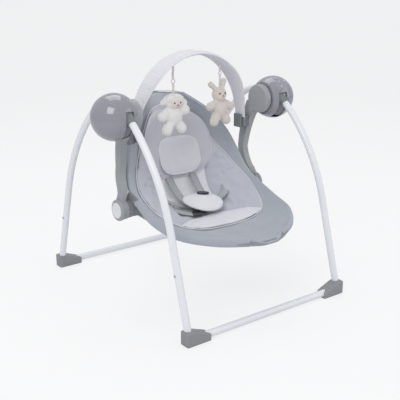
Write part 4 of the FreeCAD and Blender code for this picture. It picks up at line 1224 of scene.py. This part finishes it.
class SWING_OT_crotch_pad(bpy.types.Operator):
    """Make the round padded cover over the buckle, with its bare oval plate"""
    bl_idname = "swing.crotch_pad"
    bl_label = "Crotch pad"

    def execute(self, context):
        base = -PAD_T / 2

        def place(p, q, lift):
            bend = 0.006 * (q * q)[..., None] * PAD_UP
            flat = p[..., None] * (PAD_RADIUS, 0, 0) + q[..., None] * PAD_FLAT * PAD_RADIUS
            return PAD_CENTRE + flat - bend + np.asarray(lift)[..., None] * PAD_UP

        def crown(p, q):
            return PAD_T * (0.72 + 0.28 * (1 - p * p - q * q))

        points, faces, disc, upper = pad_sheet(52, 52, place, crown, base)
        material = cloth_material("light_padding", (0.88, 0.875, 0.90), 0.0011, 0.05)
        pad = new_object("crotch_pad_cushion", points, faces, [material], disc * PAD_RADIUS)
        rim = smooth_step(np.hypot(disc[:, 0], disc[:, 1]), 0.9, 1.0)
        inflate(pad, np.where(upper, rim, 1.0), 0.004)
        subdivide(pad)
        finish(pad, "seat", "light_padding", "crotch_pad")
        turn = np.linspace(0, 2 * math.pi, 160, endpoint=False)
        line = place(np.cos(turn), np.sin(turn), np.full(160, base + PAD_T * 0.16))
        edge = piping("crotch_pad_piping", line, 0.0016,
                      cloth_material("crotch_piping_cloth", (0.62, 0.62, 0.66), 0.0009))
        finish(edge, "seat", "light_padding")
        self.plate(place)
        return {"FINISHED"}

    def plate(self, place):
        """Bare oval plate with a raised rim, near the pad's upper edge."""
        rings = ((0.0, 4.4), (0.62, 4.3), (0.76, 4.2), (0.82, 4.9), (0.94, 4.9), (1.0, 4.2), (1.0, 0.2))
        half_w, half_l, sides = 0.30, 0.16, 40
        turn = np.linspace(0, 2 * math.pi, sides, endpoint=False)
        spin = math.radians(36)

        def spot(x, y, height):
            """Place on the pad in axes turned towards the right hip."""
            p = x * math.cos(spin) + y * math.sin(spin)
            q = -x * math.sin(spin) + y * math.cos(spin)
            return place(p, q, np.full(len(p), PAD_T / 2 + height * MM))

        points = [spot(np.zeros(1), np.full(1, 0.50), rings[0][1])]
        for share, height in rings[1:]:
            points.append(spot(share * half_w * np.cos(turn), 0.50 + share * half_l * np.sin(turn), height))
        points = np.concatenate(points)
        faces = [(0, 1 + k, 1 + (k + 1) % sides) for k in range(sides)]
        faces += grid_faces(len(rings) - 1, sides, False, True, 1)
        faces.append(tuple(range(1 + (len(rings) - 2) * sides, len(points))))
        plate = new_object("pad_plate", points, faces,
                           [plastic_material("plate_navy", (0.03, 0.035, 0.06), 0.25, 0.05, 0.2)])
        finish(plate, "seat", "buckle_grey")


# ---- toy bar ----
BAR_SPAN = 197 * MM
BAR_RISE = 221 * MM
BAR_Z = 480 * MM
BAR_DROP = 16 * MM
BAR_CLOTH_Z = 487 * MM
BAR_LOW = (0.015, 0.020)      # centre y and half width at the clips
BAR_HIGH = (0.000, 0.036)     # the same over the top


def bar_line(share):
    """Middle of the bar's cloth: share runs 0 to 1 from the left clip to the right one."""
    turn = math.pi * (1 - np.asarray(share, float))
    x = BAR_SPAN * np.cos(turn)
    z = BAR_Z + BAR_RISE * np.sin(turn)
    blend = smooth_step(z, 0.494, 0.650)
    y = BAR_LOW[0] + (BAR_HIGH[0] - BAR_LOW[0]) * blend
    half = BAR_LOW[1] + (BAR_HIGH[1] - BAR_LOW[1]) * blend
    out = np.stack([BAR_RISE * np.cos(turn), np.zeros_like(turn), BAR_SPAN * np.sin(turn)], -1)
    out /= np.linalg.norm(out, axis=-1)[..., None]
    return np.stack([x, y, z], -1), half, out


class SWING_OT_toy_bar(bpy.types.Operator):
    """Make the padded cotton sleeve of the toy bar with its corded edges"""
    bl_idname = "swing.toy_bar"
    bl_label = "Toy bar"

    def execute(self, context):
        settings = context.scene.swing_toys
        rows, sides = 190, 32
        low = math.asin((BAR_CLOTH_Z - BAR_Z) / BAR_RISE) / math.pi
        middle, half, out = bar_line(np.linspace(low, 1 - low, rows))
        run = np.concatenate([[0], np.cumsum(np.linalg.norm(np.diff(middle, axis=0), axis=1))])
        turn = np.linspace(0, 2 * math.pi, sides, endpoint=False)
        wide = np.sign(np.cos(turn)) * np.abs(np.cos(turn)) ** 0.75
        tall = np.sign(np.sin(turn)) * np.abs(np.sin(turn)) ** 0.75
        ends = smooth_step(np.minimum(run, run[-1] - run), 0.02, 0.10)
        thick = (0.0046 + (settings.bar_t / 2 - 0.0046 + 0.0009) * ends)
        points, uv = [], []
        for k in range(len(middle)):
            gather = 1 + 0.10 * np.sin(run[k] * 160 + 3 * np.sin(run[k] * 37)) * ends[k] * 0.6
            y = middle[k][1] + half[k] * wide
            section = np.stack([np.full(sides, middle[k][0]), y, np.full(sides, middle[k][2])], 1)
            points.append(section + (thick[k] * tall * gather)[:, None] * out[k])
            uv.append(np.stack([half[k] * wide, np.full(sides, run[k])], 1))
        points, uv = np.concatenate(points), np.concatenate(uv)
        faces = grid_faces(len(middle), sides, False, True)
        faces.append(tuple(range(sides)))
        faces.append(tuple(range(len(points) - sides, len(points)))[::-1])
        sleeve = new_object("toy_bar_sleeve", points, faces, [dotted_material(settings)], uv)
        finish(sleeve, "toy_arch", "dotted_cotton", "toy_bar")
        cord = cloth_material("bar_piping_cloth", shade(settings.bar_cloth, 1.12)[:3], 0.0009)
        lines = []
        for side in (-1, 1):
            edge = middle + np.stack([0 * half, side * (half + 0.0004), 0 * half], 1)
            piece = piping("bar_piping_" + ("front" if side < 0 else "rear"), edge, 0.0015,
                           cord, False)
            finish(piece, "toy_arch", "dotted_cotton")
            for face in (-1, 1):
                inset = middle + np.stack([0 * half, side * (half - 0.006), 0 * half], 1)
                lines.append((inset + face * (thick * 0.86 + 0.0002)[:, None] * out)[3:-3])
        stitches("bar_stitches", lines, cord, "toy_arch", "dotted_cotton", 0.0045, 0.003, 0.0003)
        self.ends(context.scene.swing_frame)
        return {"FINISHED"}

    def ends(self, look):
        """Moulded ends that hold the sleeve in the clips."""
        grey = plastic_material("bar_end_grey", look.clip, 0.4, 0.2, look.wear)
        for side, name in ((-1, "left"), (1, "right")):
            path = [(side * 0.1973, BAR_LOW[0], BAR_Z - BAR_DROP - 0.001),
                    (side * 0.1974, BAR_LOW[0], BAR_Z - 0.004), (side * 0.1974, BAR_LOW[0], BAR_Z + 0.004),
                    (side * 0.1972, BAR_LOW[0], BAR_CLOTH_Z + 0.005)]
            points, faces, uv, _ = strap_mesh(np.array(path), (0, 1, 0), 2 * BAR_LOW[1] + 0.003, 0.0106)
            end = new_object("bar_end_" + name, points, faces, [grey], uv)
            bevel = end.modifiers.new("soften", "BEVEL")
            bevel.width = 0.0012
            bevel.segments = 3
            bevel.limit_method = "ANGLE"
            finish(apply_modifiers(end), "toy_arch", "dotted_cotton")


# ---- plush toys ----
def ellipsoid(bm, centre, radii, lean=0.0):
    """Adds a round blob in millimetres; lean turns it about Y, in degrees."""
    made = bmesh.ops.create_icosphere(bm, subdivisions=3, radius=1.0)["verts"]
    angle = math.radians(lean)
    for vert in made:
        x, y, z = (vert.co[k] * radii[k] for k in range(3))
        vert.co = Vector((x * math.cos(angle) - z * math.sin(angle) + centre[0], y + centre[1],
                          x * math.sin(angle) + z * math.cos(angle) + centre[2])) * MM


def limb(bm, start, end, radius, tip):
    """Adds a stuffed limb as a row of blobs from start to end."""
    start, end = Vector(start), Vector(end)
    for k in range(6):
        share = k / 5
        size_here = radius + (tip - radius) * share
        ellipsoid(bm, start.lerp(end, share), (size_here, size_here * 0.92, size_here))


def plush(name, build, voxel=0.0022):
    """Melts blobs into one soft skin."""
    mesh = bpy.data.meshes.new(name)
    bm = bmesh.new()
    build(bm)
    bm.to_mesh(mesh)
    bm.free()
    obj = bpy.data.objects.new(name, mesh)
    bpy.context.collection.objects.link(obj)
    melt = obj.modifiers.new("melt", "REMESH")
    melt.mode = "VOXEL"
    melt.voxel_size = voxel
    relax = obj.modifiers.new("relax", "SMOOTH")
    relax.factor = 0.6
    relax.iterations = 6
    return apply_modifiers(obj)


def coordinates(obj):
    place = np.zeros(len(obj.data.vertices) * 3)
    obj.data.vertices.foreach_get("co", place)
    return place.reshape(-1, 3)


def normals(obj):
    out = np.zeros(len(obj.data.vertices) * 3)
    obj.data.vertex_normals.foreach_get("vector", out)
    return out.reshape(-1, 3)


def move_points(obj, place):
    obj.data.vertices.foreach_set("co", np.asarray(place).ravel())
    obj.data.update()


def curls(obj, amount, scale, seed):
    """Raises small woolly curls out of the skin. amount may vary over the points."""
    place = coordinates(obj)
    bumps = np.abs(ripple(place, scale, seed)) + 0.5 * np.abs(ripple(place, scale * 2.1, seed + 9))
    move_points(obj, place + normals(obj) * (np.asarray(amount) * (bumps - 0.25))[:, None])


def near(place, centre, radii, soft=0.25):
    """1 inside an ellipsoid in millimetres, falling to 0 outside it."""
    away = np.linalg.norm((place / MM - np.array(centre)) / np.array(radii), axis=1)
    return 1 - smooth_step(away, 1 - soft, 1 + soft)


def bead(name, centre, radii, material, body, slot):
    bm = bmesh.new()
    ellipsoid(bm, centre, radii)
    mesh = bpy.data.meshes.new(name)
    bm.to_mesh(mesh)
    bm.free()
    mesh.materials.append(material)
    mesh.shade_smooth()
    obj = bpy.data.objects.new(name, mesh)
    bpy.context.collection.objects.link(obj)
    return finish(obj, body, slot)


def hanger(name, x, top, ring_z, head_z, ring_r, body, slot, tone):
    """Ribbon from the bar, plastic ring, and ribbon loop into the toy's head."""
    ribbon = webbing_material(name + "_ribbon_weave", tone)
    parts = []
    for low, high in ((ring_z + ring_r, top), (head_z, ring_z - ring_r)):
        path = np.array([(x, -0.012, high), (x + 0.0004, -0.0125, (2 * high + low) / 3),
                         (x - 0.0004, -0.0115, (high + 2 * low) / 3), (x, -0.012, low)])
        points, faces, uv, _ = strap_mesh(path, (1, 0, 0), 0.0075, 0.0014)
        parts.append((points, faces, uv))
    points, faces, uv = join_meshes(parts)
    finish(new_object(name + "_ribbon", points, faces, [ribbon], uv), body, slot)
    turn = np.linspace(0, 2 * math.pi, 36, endpoint=False)
    circle = np.stack([x + ring_r * np.cos(turn), np.full(36, -0.012), ring_z + ring_r * np.sin(turn)], 1)
    points, faces = tube_mesh(circle, 0.0014, 10, True)
    ring = new_object(name + "_ring", points, faces,
                      [plastic_material(name + "_ring_plastic", (0.70, 0.68, 0.66), 0.35, 0.1, 0.1)])
    finish(ring, body, slot)


class SWING_OT_lamb(bpy.types.Operator):
    """Make the cream lamb with woolly cap, ears and stitched face"""
    bl_idname = "swing.lamb"
    bl_label = "Lamb"

    def execute(self, context):
        settings = context.scene.swing_toys
        x, y = -78.0, -12.0

        def build(bm):
            ellipsoid(bm, (x, y, 567), (29, 19, 21))
            ellipsoid(bm, (x + 1, y - 12, 562), (19, 10, 13))
            for lean in (-62, -38, -14, 12, 38, 62):
                angle = math.radians(lean)
                ellipsoid(bm, (x + 24 * math.sin(angle), y - 5, 570 + 14 * math.cos(angle)), (9.5, 12, 8.5))
                ellipsoid(bm, (x + 21 * math.sin(angle), y + 7, 570 + 12 * math.cos(angle)), (10, 11, 9))
            ellipsoid(bm, (x - 32, y - 2, 572), (16, 7, 9.5), 24)
            ellipsoid(bm, (x + 33, y - 2, 566), (16, 7, 9.5), -30)
            ellipsoid(bm, (x, y, 526), (29, 20, 29))
            limb(bm, (x - 17, y, 541), (x - 40, y - 2, 528), 13.5, 14.5)
            limb(bm, (x + 18, y, 542), (x + 40, y - 2, 541), 13.5, 14.5)
            limb(bm, (x - 12, y, 508), (x - 25, y - 3, 487), 15.5, 15.5)
            limb(bm, (x + 12, y, 508), (x + 26, y - 3, 489), 15.5, 15.5)

        lamb = plush("lamb_plush", build)
        inflate(lamb, np.zeros(len(lamb.data.vertices)), 0.0012, 2.0, 12)
        place = coordinates(lamb)
        face = near(place, (x + 1, y - 20, 563), (23, 13, 12), 0.12)
        wool = 0.0010 + 0.0014 * smooth_step(place[:, 2], 0.566, 0.578)
        curls(lamb, wool * (1 - 0.9 * face), 190.0, settings.seed)
        lamb.data.attributes.new("patch", "FLOAT", "POINT").data.foreach_set("value", face)
        lamb.data.materials.append(plush_material("cream_plush", settings.cream, settings.blush))
        finish(lamb, "lamb", "cream_plush", "toy_lamb")
        self.face(x, y)
        hanger("lamb", x * MM, 0.6735, 0.626, 0.582, settings.ring_r, "lamb", "cream_plush",
               (0.84, 0.76, 0.77))
        return {"FINISHED"}

    def face(self, x, y):
        dark = plastic_material("eye_black", (0.015, 0.013, 0.012), 0.2, 0.02, 0.0)
        nose = cloth_material("nose_thread", (0.42, 0.24, 0.22), 0.0007)
        for side in (-1, 1):
            bead("lamb_eye_" + ("left" if side < 0 else "right"),
                 (x + 1 + side * 10, y - 20.6, 567), (2.1, 1.3, 2.4), dark, "lamb", "cream_plush")
        bead("lamb_nose", (x + 1, y - 22.3, 560.5), (3.6, 1.5, 2.2), nose, "lamb", "cream_plush")
        lines = [np.array([(x + 1, y - 22.6, 558.5), (x + 1, y - 22.5, 556), (x + 1, y - 22, 554.5)]),
                 np.array([(x - 4, y - 21.2, 554.5), (x - 1.5, y - 22.1, 553.2), (x + 1, y - 22.2, 554.5),
                           (x + 3.5, y - 22.1, 553.2), (x + 6, y - 21.2, 554.5)])]
        stitches("lamb_mouth", [along(line, np.linspace(0, len(line) - 1, 24)) * MM for line in lines],
                 nose, "lamb", "cream_plush", 0.0011, 0.0016, 0.0004)


class SWING_OT_bunny(bpy.types.Operator):
    """Make the beige bunny with long ears, pale belly and stitched face"""
    bl_idname = "swing.bunny"
    bl_label = "Bunny"

    def execute(self, context):
        settings = context.scene.swing_toys
        x, y = 92.0, -12.0

        def build(bm):
            ellipsoid(bm, (x - 2, y, 574), (24, 19, 22))
            ellipsoid(bm, (x - 4, y - 12, 567), (15, 10, 11.5))
            limb(bm, (x - 13, y, 588), (x - 34, y + 1, 605), 7.0, 9.0)
            limb(bm, (x + 8, y, 590), (x + 15, y + 1, 612), 7.0, 9.0)
            ellipsoid(bm, (x, y, 531), (25.5, 19, 29))
            limb(bm, (x - 15, y, 548), (x - 38, y - 2, 540), 11.5, 13)
            limb(bm, (x + 15, y, 548), (x + 38, y - 2, 535), 11.5, 13)
            limb(bm, (x - 12, y, 514), (x - 23, y - 3, 493), 14, 14)
            limb(bm, (x + 12, y, 514), (x + 24, y - 3, 494), 14, 14)

        bunny = plush("bunny_plush", build)
        inflate(bunny, np.zeros(len(bunny.data.vertices)), 0.0012, 2.0, 12)
        place = coordinates(bunny)
        muzzle = near(place, (x - 4, y - 19, 569), (13, 10, 10), 0.12)
        belly = near(place, (x, y - 17, 531), (14, 11, 18), 0.08)
        curls(bunny, 0.0009 * (1 - 0.7 * muzzle), 260.0, settings.seed + 4)
        patch = np.maximum(muzzle, 0.75 * belly)
        bunny.data.attributes.new("patch", "FLOAT", "POINT").data.foreach_set("value", patch)
        bunny.data.materials.append(plush_material("beige_plush", settings.beige, (0.86, 0.74, 0.66)))
        finish(bunny, "bunny", "beige_plush", "toy_bunny")
        self.face(x, y)
        hanger("bunny", x * MM, 0.6650, 0.636, 0.592, settings.ring_r * 0.8, "bunny", "beige_plush",
               (0.80, 0.79, 0.80))
        return {"FINISHED"}

    def face(self, x, y):
        dark = plastic_material("bunny_eye_black", (0.015, 0.013, 0.012), 0.2, 0.02, 0.0)
        nose = cloth_material("bunny_nose_thread", (0.40, 0.22, 0.20), 0.0007)
        for side in (-1, 1):
            bead("bunny_eye_" + ("left" if side < 0 else "right"),
                 (x - 3 + side * 9.5, y - 17.6, 578), (2.4, 1.7, 2.8), dark, "bunny", "beige_plush")
        bead("bunny_nose", (x - 4, y - 22.6, 571.5), (3.2, 1.5, 2.2), nose, "bunny", "beige_plush")
        lines = [np.array([(x - 4, y - 21.6, 569.5), (x - 4, y - 21.6, 567.5), (x - 4, y - 21.4, 565.5)]),
                 np.array([(x - 8, y - 20.2, 566), (x - 6, y - 21.2, 564.6), (x - 4, y - 21.4, 565.5),
                           (x - 2, y - 21.2, 564.6), (x, y - 20.2, 566)])]
        stitches("bunny_mouth", [along(line, np.linspace(0, len(line) - 1, 24)) * MM for line in lines],
                 nose, "bunny", "beige_plush", 0.0011, 0.0016, 0.0004)


# ---- printed marks on the hub with the controls ----
HUB_CENTRE = np.array((287.0, -33.0, 550.0)) * MM
HUB_R = 65 * MM
LEG_OFFSET = -12 * MM        # a leg's plane from the hub's centre
SHUTTER_R = 61.7 * MM
SHUTTER_T = 1 * MM
SHUTTER_HALF = 15 * MM


def hub_point(angle, offset, lift=0.0):
    """Point over the control hub: angle from +Y towards +Z, offset along X."""
    turn = np.radians(np.asarray(angle, float))
    offset = np.asarray(offset, float)
    flat = np.sqrt(HUB_R ** 2 - offset ** 2)
    out = np.stack([offset, flat * np.cos(turn), flat * np.sin(turn)], -1) / HUB_R
    return HUB_CENTRE + out * (HUB_R + lift)


class SWING_OT_leg_shutters(bpy.types.Operator):
    """Make the curved shutters that close the hub slots round the front legs; their darker grey is painted
    shade of the slots
    """
    bl_idname = "swing.leg_shutters"
    bl_label = "Leg shutters"

    def execute(self, context):
        look = context.scene.swing_frame
        # the shutters close the slots; their grey, darker than the hub's, is painted shade inside the slots
        grey = plastic_material("shutter_slot_shade_grey", shade(look.hub, 0.62)[:3], 0.35, 0.2, look.wear)
        angles = np.radians(np.linspace(158, 238, 56))
        offsets = np.linspace(-SHUTTER_HALF, SHUTTER_HALF, 9) + LEG_OFFSET
        for side, name in ((-1, "left"), (1, "right")):
            layers = []
            for radius in (SHUTTER_R, SHUTTER_R - SHUTTER_T):
                flat = np.sqrt(radius ** 2 - offsets ** 2)[None, :]
                x = np.broadcast_to(offsets[None, :], (len(angles), len(offsets)))
                layers.append(np.stack([side * (HUB_CENTRE[0] + x),
                                        HUB_CENTRE[1] + flat * np.cos(angles)[:, None],
                                        HUB_CENTRE[2] + flat * np.sin(angles)[:, None]], -1))
            loops = np.concatenate([layers[0], layers[1][:, ::-1]], axis=1)
            count = loops.shape[1]
            faces = grid_faces(len(angles), count, False, True)
            faces.append(tuple(range(count)))
            faces.append(tuple(range((len(angles) - 1) * count, len(angles) * count))[::-1])
            shutter = new_object("leg_shutter_" + name, loops.reshape(-1, 3), faces, [grey])
            finish(shutter, "front_frame", "mechanism_grey")
        return {"FINISHED"}


class SWING_OT_hub_marks(bpy.types.Operator):
    """Print the plain marks beside the keys: rows of dots and curved bars"""
    bl_idname = "swing.hub_marks"
    bl_label = "Hub marks"

    def execute(self, context):
        ink = plastic_material("white_ink", (0.80, 0.81, 0.83), 0.45, 0.05, 0.1)
        parts = []
        for angle, length in ((106, 2), (120, 3), (134, 4)):
            for k in range(length):
                parts.append(self.dot(angle - 3 + 3.0 * k, -0.0228, 0.0009))
        parts.append(self.bar(120.0, 136.0, 0.0155, 0.0009))
        for angle in (168.0, 173.0, 178.0):
            parts.append(self.dot(angle, -0.0140, 0.0016))
        parts.append(self.bar(165.0, 181.0, -0.0085, 0.0008))
        points, faces, uv = join_meshes(parts)
        marks = new_object("hub_marks", points, faces, [ink], uv)
        finish(marks, "rear_frame", "button_white")
        return {"FINISHED"}

    def dot(self, angle, offset, radius):
        sides = 16
        turn = np.linspace(0, 2 * math.pi, sides, endpoint=False)
        spread = math.degrees(radius / HUB_R)
        rim = [hub_point(angle + spread * np.cos(turn), offset + radius * np.sin(turn), lift)
               for lift in (-0.0003, 0.0003)]
        cap = hub_point(np.array([angle]), np.array([offset]), 0.0004)
        base = hub_point(np.array([angle]), np.array([offset]), -0.0003)
        points = np.concatenate([rim[0], rim[1], cap, base])
        faces = grid_faces(2, sides, False, True)
        faces += [(sides + k, sides + (k + 1) % sides, 2 * sides) for k in range(sides)]
        faces += [((k + 1) % sides, k, 2 * sides + 1) for k in range(sides)]
        return points, faces, np.zeros((len(points), 2))

    def bar(self, start, end, offset, half):
        line = hub_point(np.linspace(start, end, 20), np.full(20, offset), 0.0)
        points, faces = tube_mesh(line, half, 8, False)
        out = (line - HUB_CENTRE) / HUB_R
        centre = np.repeat(line, 8, axis=0)
        normal = np.repeat(out, 8, axis=0)
        height = ((points - centre) * normal).sum(1)[:, None]
        points = points - normal * height * 0.65
        return points, faces, np.zeros((len(points), 2))


# ---- panel, registration and run ----
class SWING_PT_panel(bpy.types.Panel):
    """Lists the swing's steps and settings"""
    bl_idname = "SWING_PT_panel"
    bl_label = "Baby swing"
    bl_space_type = "VIEW_3D"
    bl_region_type = "UI"
    bl_category = "Baby swing"

    def draw(self, context):
        for operator in STEPS:
            self.layout.operator(operator.bl_idname)
        for name, group in SETTINGS.items():
            box = self.layout.box()
            for key in group.__annotations__:
                box.prop(getattr(context.scene, name), key)


STEPS = (SWING_OT_stage, SWING_OT_frame_finish, SWING_OT_seat_cover, SWING_OT_liner,
         SWING_OT_head_pad, SWING_OT_harness, SWING_OT_crotch_pad, SWING_OT_toy_bar,
         SWING_OT_lamb, SWING_OT_bunny, SWING_OT_leg_shutters, SWING_OT_hub_marks)
SETTINGS = {"swing_seat": SeatSettings, "swing_toys": ToySettings, "swing_frame": FrameSettings,
            "swing_stage": StageSettings}


def register():
    for group in SETTINGS.values():
        bpy.utils.register_class(group)
    for name, group in SETTINGS.items():
        setattr(bpy.types.Scene, name, PointerProperty(type=group))
    for operator in STEPS:
        bpy.utils.register_class(operator)
    bpy.utils.register_class(SWING_PT_panel)


def unregister():
    bpy.utils.unregister_class(SWING_PT_panel)
    for operator in reversed(STEPS):
        bpy.utils.unregister_class(operator)
    for name in SETTINGS:
        delattr(bpy.types.Scene, name)
    for group in reversed(list(SETTINGS.values())):
        bpy.utils.unregister_class(group)


def main():
    register()
    for operator in STEPS:
        family, step = operator.bl_idname.split(".")
        getattr(getattr(bpy.ops, family), step)()
    bpy.context.view_layer.update()


if __name__ == "__main__":
    main()
